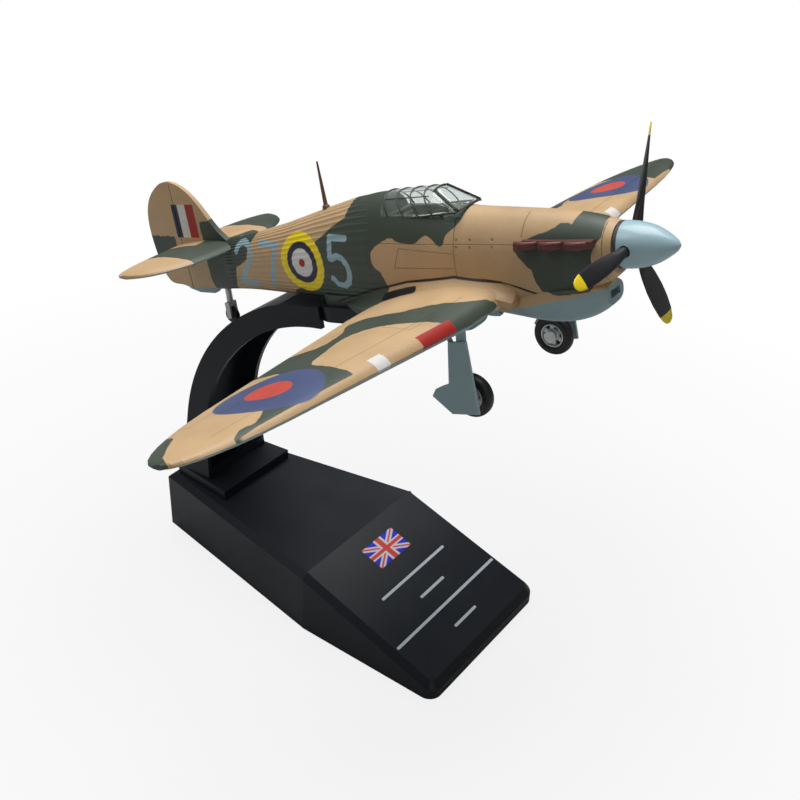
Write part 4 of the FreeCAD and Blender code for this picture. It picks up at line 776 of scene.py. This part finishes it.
def plate_material(stand):
    """Moulded black with the printed flag and plain rules on the front slope."""
    material, graph, shader = new_material("stand_plastic_printed")
    coordinates = graph.node("ShaderNodeTexCoord")
    scaled = graph.node("ShaderNodeMapping", vector_type="TEXTURE")
    scaled.inputs["Scale"].default_value = (MM, MM, MM)
    graph.feed(scaled.inputs["Vector"], coordinates.outputs["Object"])
    place = scaled.outputs[0]
    x, y, z = graph.split(place)
    slope = math.atan2(SLOPE_TOP[1] - SLOPE_FOOT[1], SLOPE_FOOT[0] - SLOPE_TOP[0])
    down = graph.math("DIVIDE", graph.math("SUBTRACT", x, SLOPE_TOP[0]), math.cos(slope))
    upward = graph.split(coordinates.outputs["Normal"])[2]
    on_slope = graph.both(graph.step(upward, 0.9, 0.02), graph.below(upward, 0.985, 0.005))
    # flag: a box with two diagonals under an upright cross, from middle to edge as 0 to 1
    u = graph.math("DIVIDE", graph.math("SUBTRACT", y, FLAG_ACROSS), FLAG_HALF_WIDTH)
    v = graph.math("DIVIDE", graph.math("SUBTRACT", down, FLAG_DOWN), FLAG_HALF_HEIGHT)
    point = graph.join(u, v)
    inside = graph.both(
        graph.below(graph.math("ABSOLUTE", u), 1.0, 0.02), graph.below(graph.math("ABSOLUTE", v), 1.0, 0.03)
    )
    diagonals = [[(-1.1, -1.1), (1.1, 1.1)], [(-1.1, 1.1), (1.1, -1.1)]]
    upright = [[(0, -1.2), (0, 1.2)], [(-1.2, 0), (1.2, 0)]]
    flag, pale, red = tuple(stand.flag_blue), linear(214, 210, 222), tuple(stand.flag_red)
    for lines, width, tone in (
        (diagonals, 0.34, pale), (diagonals, 0.11, red), (upright, 0.5, pale), (upright, 0.27, red),
    ):
        flag = graph.mix(lines_mask(graph, point, lines, width, 0.03), flag, tone)
    colour = graph.mix(graph.both(inside, on_slope), tuple(stand.plastic), flag)
    printed = lines_mask(graph, graph.join(y, down), RULES, 0.7, 0.06)
    colour = graph.mix(graph.both(printed, on_slope), colour, tuple(stand.print_pale))
    grain = graph.noise(place, 0.35)
    broad = graph.noise(place, 12.0)
    shader.inputs["Specular IOR Level"].default_value = 0.3
    graph.feed(shader.inputs["Base Color"], colour)
    graph.feed(shader.inputs["Roughness"], graph.scale(broad, 0.3, 0.7, 0.34, 0.42))
    bump = graph.node("ShaderNodeBump")
    bump.inputs["Distance"].default_value = 0.0001
    bump.inputs["Strength"].default_value = 0.12
    graph.feed(bump.inputs["Height"], grain)
    graph.feed(shader.inputs["Normal"], bump.outputs[0])
    return material


# Mesh building


def mesh_from(name, points, faces, smooth=True):
    """New object at the origin from row metres and faces, shaded smooth."""
    mesh = bpy.data.meshes.new(name)
    mesh.from_pydata(points.reshape(-1, 3).tolist(), [], faces)
    mesh.polygons.foreach_set("use_smooth", np.full(len(mesh.polygons), smooth))
    mesh.update()
    made = bpy.data.objects.new(name, mesh)
    bpy.context.scene.collection.objects.link(made)
    return made


def tube_faces(rings, around):
    """Quads of a grid that closes round its second way, with a fan of one face at each end."""
    ring, step = np.meshgrid(np.arange(rings - 1), np.arange(around), indexing="ij")
    following = (step + 1) % around
    quads = np.stack([ring * around + step, ring * around + following,
                      (ring + 1) * around + following, (ring + 1) * around + step], -1).reshape(-1, 4)
    faces = quads.tolist()
    faces.append(list(range(around))[::-1])
    faces.append(list(range((rings - 1) * around, rings * around)))
    return faces


def body_ring(stations, angles, grow):
    """Fuselage skin at each station, outside the casting by the growth.

    Half width times cos to a power, and crown or belly height times sin to a power.
    """
    lines = BODY_LINES[::-1]
    half, top, low, waist = (np.interp(stations, lines[:, 0], lines[:, k])[:, None] for k in (1, 2, 3, 4))
    c, s = np.cos(angles)[None, :], np.sin(angles)[None, :]
    power = np.where(s >= 0, 2 / CROWN_ROUNDNESS, 2 / BELLY_ROUNDNESS)
    reach = np.where(s >= 0, top - waist, waist - low)
    y = (half + grow) * np.sign(c) * np.abs(c) ** power
    z = waist + (reach + grow) * np.sign(s) * np.abs(s) ** power
    x = np.broadcast_to(stations[:, None], y.shape)
    return np.stack([x, y, z], -1)


def torus_faces(around, profile):
    """Quads of a grid that closes both ways."""
    row, column = np.meshgrid(np.arange(around), np.arange(profile), indexing="ij")
    next_row, next_column = (row + 1) % around, (column + 1) % profile
    quads = np.stack([row * profile + column, row * profile + next_column,
                      next_row * profile + next_column, next_row * profile + column], -1)
    return quads.reshape(-1, 4).tolist()


def swept(path, width, depth, outward, around=12):
    """Oval bar along a path: path plus width times cos sideways and depth times sin outwards."""
    tangent = np.gradient(path, axis=0)
    tangent /= np.linalg.norm(tangent, axis=1, keepdims=True)
    side = np.cross(tangent, outward)
    side /= np.linalg.norm(side, axis=1, keepdims=True)
    out = np.cross(side, tangent)
    angle = np.linspace(0, 2 * math.pi, around, endpoint=False)[None, :, None]
    return path[:, None] + width * np.cos(angle) * side[:, None] + depth * np.sin(angle) * out[:, None]


def joined(name, grids, place=row_place):
    """One object from several tube grids."""
    points, faces, used = [], [], 0
    for grid in grids:
        rings, around = grid.shape[:2]
        faces += [[corner + used for corner in face] for face in tube_faces(rings, around)]
        points.append(grid.reshape(-1, 3))
        used += rings * around
    made = mesh_from(name, place(np.concatenate(points)), faces)
    return faced_out(made)


def faced_out(made):
    """Turns every face of a closed mesh outwards."""
    shape = bmesh.new()
    shape.from_mesh(made.data)
    bmesh.ops.recalc_face_normals(shape, faces=shape.faces)
    shape.to_mesh(made.data)
    shape.free()
    return made


def dress(names, material):
    for name in names:
        node = CAD_NODES[name]
        node.data.materials.clear()
        node.data.materials.append(material)


def settings():
    scene = bpy.context.scene
    return scene.aircraft_paint, scene.stand_finish, scene.studio_settings


class DISPLAY_OT_airframe(bpy.types.Operator):
    """Paint the fuselage, fin and rudder"""

    bl_idname = "display.airframe"
    bl_label = "Fuselage and Fin"

    def execute(self, context):
        paint, _, _ = settings()
        camouflage = fuselage_material("fuselage_camouflage", paint)
        dress(["fuselage_casting", "fin_and_tail_cone", "rudder", "chin_cowl"], camouflage)
        self.make_fabric(camouflage, context.scene.fine_sizes)
        return {"FINISHED"}

    def make_fabric(self, camouflage, sizes):
        """Ribbed fabric skin over the rear fuselage.

        The fuselage skin grown by a little more on each rib than between them: rib height times
        the cosine of the rib count times the angle. The ends and the belly sink into the casting.
        """
        ribs, samples = sizes.ribs, 8
        rear, front, fade = -112.0, -62.0, 2.0
        stations = np.linspace(rear, front, 64)
        angles = np.linspace(0, 2 * math.pi, ribs * samples, endpoint=False)
        ends = np.clip(np.minimum(stations - rear, front - stations) / fade, 0, 1)[:, None]
        side = np.clip((np.sin(angles) + 0.93) / 0.15, 0, 1)[None, :]
        ridge = np.maximum(np.cos(ribs * angles), -0.2)[None, :]
        grow = -0.25 + ends * side * (0.34 + in_millimetres(sizes.rib_height) * ridge)
        skin = mesh_from("rear_fabric_skin", row_place(body_ring(stations, angles, grow)),
                         tube_faces(len(stations), len(angles)))
        skin.data.materials.append(camouflage)
        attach(skin, "aircraft")


class DISPLAY_OT_wings(bpy.types.Operator):
    """Paint the wing casting and the tailplanes"""

    bl_idname = "display.wings"
    bl_label = "Wings and Tailplanes"

    def execute(self, context):
        paint, _, _ = settings()
        dress(["wing_casting"], wing_material("wing_camouflage_paint", paint, "wing", True))
        camouflage = wing_material("tailplane_camouflage", paint, "tail", False)
        dress(["tailplane_left", "tailplane_right"], camouflage)
        return {"FINISHED"}


class DISPLAY_OT_underside(bpy.types.Operator):
    """Paint the chin, radiator, undercarriage legs and probe"""

    bl_idname = "display.underside"
    bl_label = "Underside Fittings"

    def execute(self, context):
        paint, _, _ = settings()
        pale = plain_material("underside_pale_paint", paint.underside, 0.5, 0.5)
        dress(["radiator_fairing", "carburettor_intake", "pitot_tube"], pale)
        moulded = plain_material("underside_moulding", paint.underside, 0.3, 0.45)
        for part in ("leg", "door"):
            dress([f"undercarriage_{part}_left", f"undercarriage_{part}_right"], moulded)
        return {"FINISHED"}


class DISPLAY_OT_propeller(bpy.types.Operator):
    """Paint the spinner, blades and shaft"""

    bl_idname = "display.propeller"
    bl_label = "Propeller"

    def execute(self, context):
        paint, _, _ = settings()
        dress(["spinner"], plain_material("spinner_paint", paint.spinner, 0.4, 0.38, coat=0.2))
        moulding = plain_material("spinner_back_moulding", linear(60, 66, 68), 0.3, 0.5)
        dress(["spinner_backplate", "nose_bush"], moulding)
        steel = plain_material("bare_steel_shaft", linear(150, 150, 152), 0.3, 0.3, metal=1.0)
        dress(["propeller_shaft", "shaft_collar"], steel)
        length = in_millimetres(context.scene.fine_sizes.blade_length)
        blades = joined("slim_blades", [self.blade(lean, length) for lean in (-29.5, 90.5, 210.5)])
        blades.data.materials.append(blade_material(paint))
        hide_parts("propeller_blades")
        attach(blades, "propeller")
        return {"FINISHED"}

    def blade(self, lean, length):
        """Twisted lens section along a radius that leans round the shaft.

        Half the chord times cos and half the thickness times sin, turned by the pitch at each radius.
        """
        hub_station, root_radius = -8.7, 2.2
        share = np.linspace(0, 1, 56)
        radius = root_radius + length * share
        spots = [0, 0.1, 0.16, 0.3, 0.5, 0.68, 0.84, 0.94, 0.98, 1.0]
        chord = np.interp(share, spots, [1.9, 1.9, 2.0, 2.75, 3.3, 3.35, 3.0, 2.3, 1.6, 0.5])[:, None]
        depth = np.interp(share, spots, [1.9, 1.9, 1.7, 1.05, 0.8, 0.62, 0.45, 0.34, 0.26, 0.12])[:, None]
        pitch = np.radians(np.interp(share, [0.1, 1.0], [54, 24]))[:, None]
        angle = np.linspace(0, 2 * math.pi, 24, endpoint=False)[None, :]
        along, across = chord / 2 * np.cos(angle), depth / 2 * np.sin(angle)
        x = hub_station + along * np.sin(pitch) + across * np.cos(pitch)
        y = -along * np.cos(pitch) + across * np.sin(pitch)
        z = np.broadcast_to(radius[:, None], x.shape)
        turn = math.radians(lean)
        turned_y = y * math.cos(turn) - z * math.sin(turn)
        turned_z = y * math.sin(turn) + z * math.cos(turn)
        return np.stack([x, turned_y, turned_z], -1)


class DISPLAY_OT_cockpit(bpy.types.Operator):
    """Finish the canopy, its framing and the cockpit"""

    bl_idname = "display.cockpit"
    bl_label = "Canopy and Cockpit"

    def execute(self, context):
        paint, _, _ = settings()
        thickness = in_millimetres(context.scene.fine_sizes.glazing)
        panes = joined("canopy_panes", [self.make_panes(thickness)])
        panes.data.materials.append(glass_material())
        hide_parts("canopy_glazing")
        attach(panes, "aircraft")
        bars = joined("canopy_bars", self.make_bars())
        bars.data.materials.append(plain_material("canopy_bar_paint", paint.framing, 0.6, 0.4))
        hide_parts("canopy_frame")
        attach(bars, "aircraft")
        dress(["cockpit_tub", "pilot_seat"], plain_material("cockpit_moulding", paint.cockpit, 0.4, 0.6))
        black = plain_material("instrument_black", linear(28, 28, 28), 0.4, 0.5)
        dress(["instrument_panel", "control_column"], black)
        return {"FINISHED"}

    def skin(self, x, turn, inset=0.0):
        """Canopy skin: half width times cos to a power and height times sin to a power.

        The top falls in a straight line over the windscreen, where the power flattens the pane.
        """
        stations = [-60.6, -57.4, -54.0, -50.4, HOOD_FRONT, SCREEN_FOOT]
        top = np.interp(x, stations, [10.2, 10.4, 10.65, 10.9, 11.0, 7.25])
        sill = np.interp(x, [-60.6, -58.4, SCREEN_FOOT], [5.2, 5.5, 6.9])
        half = np.interp(x, [HOOD_FRONT, SCREEN_FOOT], [4.66, 4.2]) - inset
        power = 2 / np.interp(x, [HOOD_FRONT, SCREEN_FOOT], [HOOD_ROUNDNESS, SCREEN_ROUNDNESS])
        y = half * np.sign(np.cos(turn)) * np.abs(np.cos(turn)) ** power
        z = sill + np.maximum(top - sill - inset, 0.05) * np.abs(np.sin(turn)) ** power
        return np.stack([np.broadcast_to(x, y.shape), y, z], -1)

    def make_panes(self, thickness):
        """Thin clear shell: the skin from sill to sill and back again just inside it, at each station."""
        hood, screen = np.linspace(-60.4, HOOD_FRONT, 26), np.linspace(-47.8, SCREEN_FOOT, 14)
        stations = np.concatenate([hood, screen])[:, None]
        turn = np.linspace(0, math.pi, 37)[None, :]
        inside = self.skin(stations, turn[:, ::-1], thickness)
        return np.concatenate([self.skin(stations, turn), inside], 1)

    def make_bars(self):
        """Leaning hoops, rails and windscreen edges of the canopy, each an oval bar on its skin."""
        power = 2 / HOOD_ROUNDNESS
        # hoops: station of the foot and of the crown, angle where the bar starts, half width
        hoops = (
            (-58.4, -60.4, 0, 0.24), (-54.5, -57.4, 0, 0.15), (-51.1, -54.0, 0, 0.15),
            (-47.7, -50.6, 0, 0.15), (HOOD_FRONT, HOOD_FRONT, 65, 0.3),
        )
        # straight bars, the same on both sides: rear end, front end, half width
        straight_bars = (
            ((-58.6, 4.66, 5.5), (-42.3, 4.3, 6.95), 0.22), ((-59.9, 3.15, 9.2), (-48.9, 3.35, 9.85), 0.12),
            ((-48.2, 2.2, 10.72), (-42.2, 4.05, 7.2), 0.38),
        )
        bars = []
        for low_x, top_x, start, wide in hoops:
            turn = np.radians(np.linspace(start, 180 - start, 41))
            path = self.skin(low_x + (top_x - low_x) * np.abs(np.sin(turn)) ** power, turn)
            bars.append(swept(path, wide, BAR_DEPTH, path * (0, 1.0, 1.0) - (0, 0, 6.0)))
        for side in (-1, 1):
            for rear, front, wide in straight_bars:
                path = np.linspace(rear, front, 9) * (1, side, 1)
                bars.append(swept(path, wide, BAR_DEPTH, np.array((0.2, side * 1.0, 0.6))))
        across = np.linspace(-1, 1, 17)
        foot = np.stack([-41.8 - 0.5 * across ** 2, 4.05 * across, 7.4 - 0.25 * across ** 2], -1)
        bars.append(swept(foot, 0.3, BAR_DEPTH, np.array((0.6, 0, 1.0))))
        return bars


class DISPLAY_OT_fittings(bpy.types.Operator):
    """Finish the exhausts, mast and tail wheel strut"""

    bl_idname = "display.fittings"
    bl_label = "Small Fittings"

    def execute(self, context):
        paint, _, _ = settings()
        burnt = plain_material("burnt_exhaust_paint", paint.exhaust, 1.0, 0.42, metal=0.3)
        dress(["exhaust_left", "exhaust_right"], burnt)
        dress(["antenna_mast"], plain_material("mast_paint", paint.mast, 0.6, 0.45))
        dress(["tail_strut", "axle_head_left", "axle_head_right"],
              plain_material("silver_paint", linear(222, 223, 222), 0.4, 0.35, metal=0.25))
        return {"FINISHED"}


class DISPLAY_OT_wheels(bpy.types.Operator):
    """Finish the tyres and hubs"""

    bl_idname = "display.wheels"
    bl_label = "Wheels"

    def execute(self, context):
        rubber = plain_material("tyre_black", linear(26, 26, 28), 0.5, 0.45)
        dress(["tail_wheel"], rubber)
        silver = self.hub_material()
        sizes = context.scene.fine_sizes
        for side, middle in (("left", WHEEL_Y), ("right", -WHEEL_Y)):
            tyre = self.turned(f"main_tyre_slim_{side}", middle, *self.tyre_profile(sizes))
            tyre.data.materials.append(rubber)
            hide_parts(f"main_tyre_{side}")
            hub = self.make_hub(f"wheel_hub_slotted_{side}", middle, sizes.hub_slots)
            hub.data.materials.append(silver)
            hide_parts(f"wheel_hub_{side}")
            for piece in (tyre, hub):
                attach(piece, f"{side}_wheel")
        return {"FINISHED"}

    def tyre_profile(self, sizes):
        """Closed squarish loop: mean radius plus reach, and half width, times cos and sin to a power."""
        angle = np.linspace(0, 2 * math.pi, 36, endpoint=False)
        c, s = np.cos(angle), np.sin(angle)
        reach, power = 1.0, 2 / 2.5
        mean_radius = in_millimetres(sizes.tyre_radius) - reach
        half_width = in_millimetres(sizes.tyre_width) / 2
        radius = mean_radius + reach * np.sign(c) * np.abs(c) ** power
        return radius, half_width * np.sign(s) * np.abs(s) ** power

    def turned(self, name, middle, radius, sideways):
        """Profile carried round the axle: axle place plus radius times cos forwards and sin upwards."""
        turn = np.linspace(0, 2 * math.pi, 96, endpoint=False)[:, None]
        radius, sideways = np.broadcast_arrays(radius, sideways)
        shape = (len(turn), radius.shape[-1])
        points = np.stack([WHEEL_X + radius * np.cos(turn), np.broadcast_to(middle + sideways, shape),
                           WHEEL_Z + radius * np.sin(turn)], -1)
        return faced_out(mesh_from(name, row_place(points), torus_faces(*shape)))

    def make_hub(self, name, middle, slots):
        """Dished wheel with a boss, a rim and slots pressed into both faces."""
        # from the bore to the rim, as (radius, half width)
        stations = np.array([
            (0.9, 0.85), (1.2, 0.85), (1.3, 0.6), (1.45, 0.5), (1.6, 0.5), (1.9, 0.5), (2.1, 0.5),
            (2.2, 0.62), (2.3, 1.0), (2.5, 1.05), (2.6, 0.95),
        ])
        radius = np.concatenate([stations[:, 0], stations[::-1, 0]])
        sideways = np.concatenate([stations[:, 1], -stations[::-1, 1]])
        turn = np.linspace(0, 2 * math.pi, 96, endpoint=False)[:, None]
        slot_depth = 0.32
        pressed = np.clip((np.cos(slots * turn) - 0.05) / 0.35, 0, 1) * np.isin(radius, (1.6, 1.9, 2.1))
        hub = self.turned(name, middle, radius, sideways - np.sign(sideways) * slot_depth * pressed)
        # the pressed share is kept on the points to paint shade into the slots
        slot_shade = hub.data.attributes.new("slot_shade", "FLOAT", "POINT")
        slot_shade.data.foreach_set("value", np.ascontiguousarray(pressed, dtype=float).ravel())
        return hub

    def hub_material(self):
        """Silver paint with painted shade, near black, down in the pressed slots."""
        material, graph, shader = new_material("hub_silver")
        place = graph.group(GROUPS["place"]).outputs["Place"]
        slot_shade = graph.node("ShaderNodeAttribute", attribute_name="slot_shade").outputs["Fac"]
        # painted shade: near black where the slots are pressed in
        colour = graph.mix(slot_shade, linear(214, 215, 216), linear(22, 22, 24))
        finish_surface(graph, shader, place, colour, 0.4, 0.3)
        shader.inputs["Metallic"].default_value = 0.5
        return material


class DISPLAY_OT_stand(bpy.types.Operator):
    """Finish the base with its print, the arm, the cradle and the screws"""

    bl_idname = "display.stand"
    bl_label = "Stand"

    def execute(self, context):
        _, stand, _ = settings()
        dress(["stand_base"], plate_material(stand))
        moulded = plain_material("stand_arm_plastic", stand.plastic, 0.3, 0.36, shine=0.25)
        dress(["stand_arm", "cradle_pad"], moulded)
        dress(["arm_screws"], plain_material("screw_steel", linear(120, 120, 122), 0.3, 0.3, metal=1.0))
        return {"FINISHED"}


class DISPLAY_OT_studio(bpy.types.Operator):
    """Make the floor, lamps, surroundings and camera"""

    bl_idname = "display.studio"
    bl_label = "Studio"

    def execute(self, context):
        _, _, studio = settings()
        self.make_floor()
        self.make_world(studio)
        self.make_lamps(studio)
        self.make_camera(studio)
        return {"FINISHED"}

    def make_floor(self):
        """Flat floor with a quarter round sweep up to a backdrop, as a profile carried sideways."""
        turn = np.linspace(0, math.pi / 2, 24)
        depth = np.concatenate([[-3.0], 2.5 + np.sin(turn), [3.5]])
        height = np.concatenate([[0.0], 1.0 - np.cos(turn), [5.0]]) - 0.0002
        width = np.linspace(-4.0, 4.0, 9)
        across, along = np.meshgrid(width, np.arange(len(depth)))
        y, z = depth[along], height[along]
        turn_cos, turn_sin = math.cos(CAMERA_AZIMUTH), math.sin(CAMERA_AZIMUTH)
        points = np.stack([across * turn_cos - y * turn_sin, across * turn_sin + y * turn_cos, z], -1)
        rows, columns = points.shape[:2]
        row, column = np.meshgrid(np.arange(rows - 1), np.arange(columns - 1), indexing="ij")
        corner = row * columns + column
        faces = np.stack([corner, corner + 1, corner + columns + 1, corner + columns], -1).reshape(-1, 4)
        floor = mesh_from("studio_floor", points, faces.tolist())
        material, graph, shader = new_material("studio_paper")
        shader.inputs["Roughness"].default_value = 0.9
        shader.inputs["Specular IOR Level"].default_value = 0.1
        coordinates = graph.node("ShaderNodeTexCoord").outputs["Object"]
        grain = graph.scale(graph.noise(coordinates, 0.004), 0.3, 0.7, 0.42, 0.44)
        graph.feed(shader.inputs["Base Color"], graph.join(grain, grain, grain))
        # the paper turns into the plain white surroundings away from the model
        bright = graph.node("ShaderNodeEmission")
        distance = graph.vector("LENGTH", coordinates, result=1)
        share = graph.both(graph.scale(distance, 0.05, 0.2, 0.84, 1.0), graph.seen_directly())
        end = material.node_tree.nodes["Material Output"].inputs["Surface"]
        graph.finish_with(end, share, shader.outputs[0], bright.outputs[0])
        floor.data.materials.append(material)

    def make_world(self, studio):
        """Soft white light from all round, and plain white for what the camera and gloss see."""
        world = bpy.data.worlds.new("studio_surroundings")
        bpy.context.scene.world = world
        world.use_nodes = True
        graph = Graph(world.node_tree)
        light = world.node_tree.nodes["Background"]
        light.inputs["Color"].default_value = (1, 1, 1, 1)
        light.inputs["Strength"].default_value = studio.sky
        seen = graph.node("ShaderNodeBackground")
        seen.inputs["Color"].default_value = (1, 1, 1, 1)
        seen.inputs["Strength"].default_value = 1.0
        end = world.node_tree.nodes["World Output"].inputs["Surface"]
        graph.finish_with(end, graph.seen_directly(), light.outputs[0], seen.outputs[0])

    def make_lamps(self, studio):
        """Square lamps, each turned towards its aim."""
        for name, (place, aim, size), power in (
            ("key_lamp", KEY_LAMP, studio.key_watts), ("canopy_lamp", CANOPY_LAMP, studio.canopy_watts),
            ("fill_lamp", FILL_LAMP, studio.fill_watts),
        ):
            data = bpy.data.lights.new(name, "AREA")
            data.size = size
            data.energy = power
            lamp = bpy.data.objects.new(name, data)
            lamp.location = place
            lamp.rotation_euler = lamp_turn(np.array(aim) - np.array(place))
            bpy.context.scene.collection.objects.link(lamp)

    def make_camera(self, studio):
        """Camera at the photograph's angle, from its place, turn and lens."""
        data = bpy.data.cameras.new("camera")
        data.sensor_width = 36.0
        data.lens = studio.focal_length
        camera = bpy.data.objects.new("camera", data)
        level = np.array([-math.sin(CAMERA_AZIMUTH), math.cos(CAMERA_AZIMUTH), 0.0])
        forward = level * math.cos(CAMERA_ELEVATION) - np.array([0.0, 0.0, math.sin(CAMERA_ELEVATION)])
        right = np.array([math.cos(CAMERA_AZIMUTH), math.sin(CAMERA_AZIMUTH), 0.0])
        up = np.cross(right, forward)
        turned_right = right * math.cos(CAMERA_ROLL) + up * math.sin(CAMERA_ROLL)
        turned_up = np.cross(turned_right, forward)
        matrix = np.eye(4)
        matrix[:3, :3] = np.stack([turned_right, turned_up, -forward], 1)
        matrix[:3, 3] = CAMERA_PLACE
        camera.matrix_world = Matrix(matrix.tolist())
        data.clip_start = 0.01
        data.clip_end = 20.0
        bpy.context.scene.collection.objects.link(camera)
        bpy.context.scene.camera = camera


def lamp_turn(direction):
    """Turn that points a lamp's -Z along a direction."""
    x, y, z = direction / np.linalg.norm(direction)
    return (math.acos(-z), 0.0, math.atan2(x, -y) + math.pi)


class DISPLAY_PT_panel(bpy.types.Panel):
    """Lists the pieces and their colours"""

    bl_idname = "DISPLAY_PT_panel"
    bl_label = "Display Model"
    bl_space_type = "VIEW_3D"
    bl_region_type = "UI"
    bl_category = "Display Model"

    def draw(self, context):
        column = self.layout.column()
        for operator in OPERATORS:
            column.operator(operator.bl_idname)
        for group in (*settings(), context.scene.fine_sizes):
            for name in group.__annotations__:
                column.prop(group, name)


OPERATORS = (
    DISPLAY_OT_airframe, DISPLAY_OT_wings, DISPLAY_OT_underside, DISPLAY_OT_propeller, DISPLAY_OT_cockpit,
    DISPLAY_OT_fittings, DISPLAY_OT_wheels, DISPLAY_OT_stand, DISPLAY_OT_studio,
)
CLASSES = (AircraftPaint, FineSizes, StandFinish, StudioSettings, *OPERATORS, DISPLAY_PT_panel)


def register():
    for kind in CLASSES:
        bpy.utils.register_class(kind)
    bpy.types.Scene.aircraft_paint = bpy.props.PointerProperty(type=AircraftPaint)
    bpy.types.Scene.fine_sizes = bpy.props.PointerProperty(type=FineSizes)
    bpy.types.Scene.stand_finish = bpy.props.PointerProperty(type=StandFinish)
    bpy.types.Scene.studio_settings = bpy.props.PointerProperty(type=StudioSettings)


def unregister():
    for name in ("aircraft_paint", "fine_sizes", "stand_finish", "studio_settings"):
        delattr(bpy.types.Scene, name)
    for kind in reversed(CLASSES):
        bpy.utils.unregister_class(kind)


def main():
    """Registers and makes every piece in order."""
    register()
    bpy.context.scene.view_settings.view_transform = "Standard"
    make_groups()
    for operator in OPERATORS:
        family, name = operator.bl_idname.split(".")
        result = getattr(getattr(bpy.ops, family), name)()
        if "FINISHED" not in result:
            raise RuntimeError(f"{operator.bl_label} didn't finish")


if __name__ == "__main__":
    main()
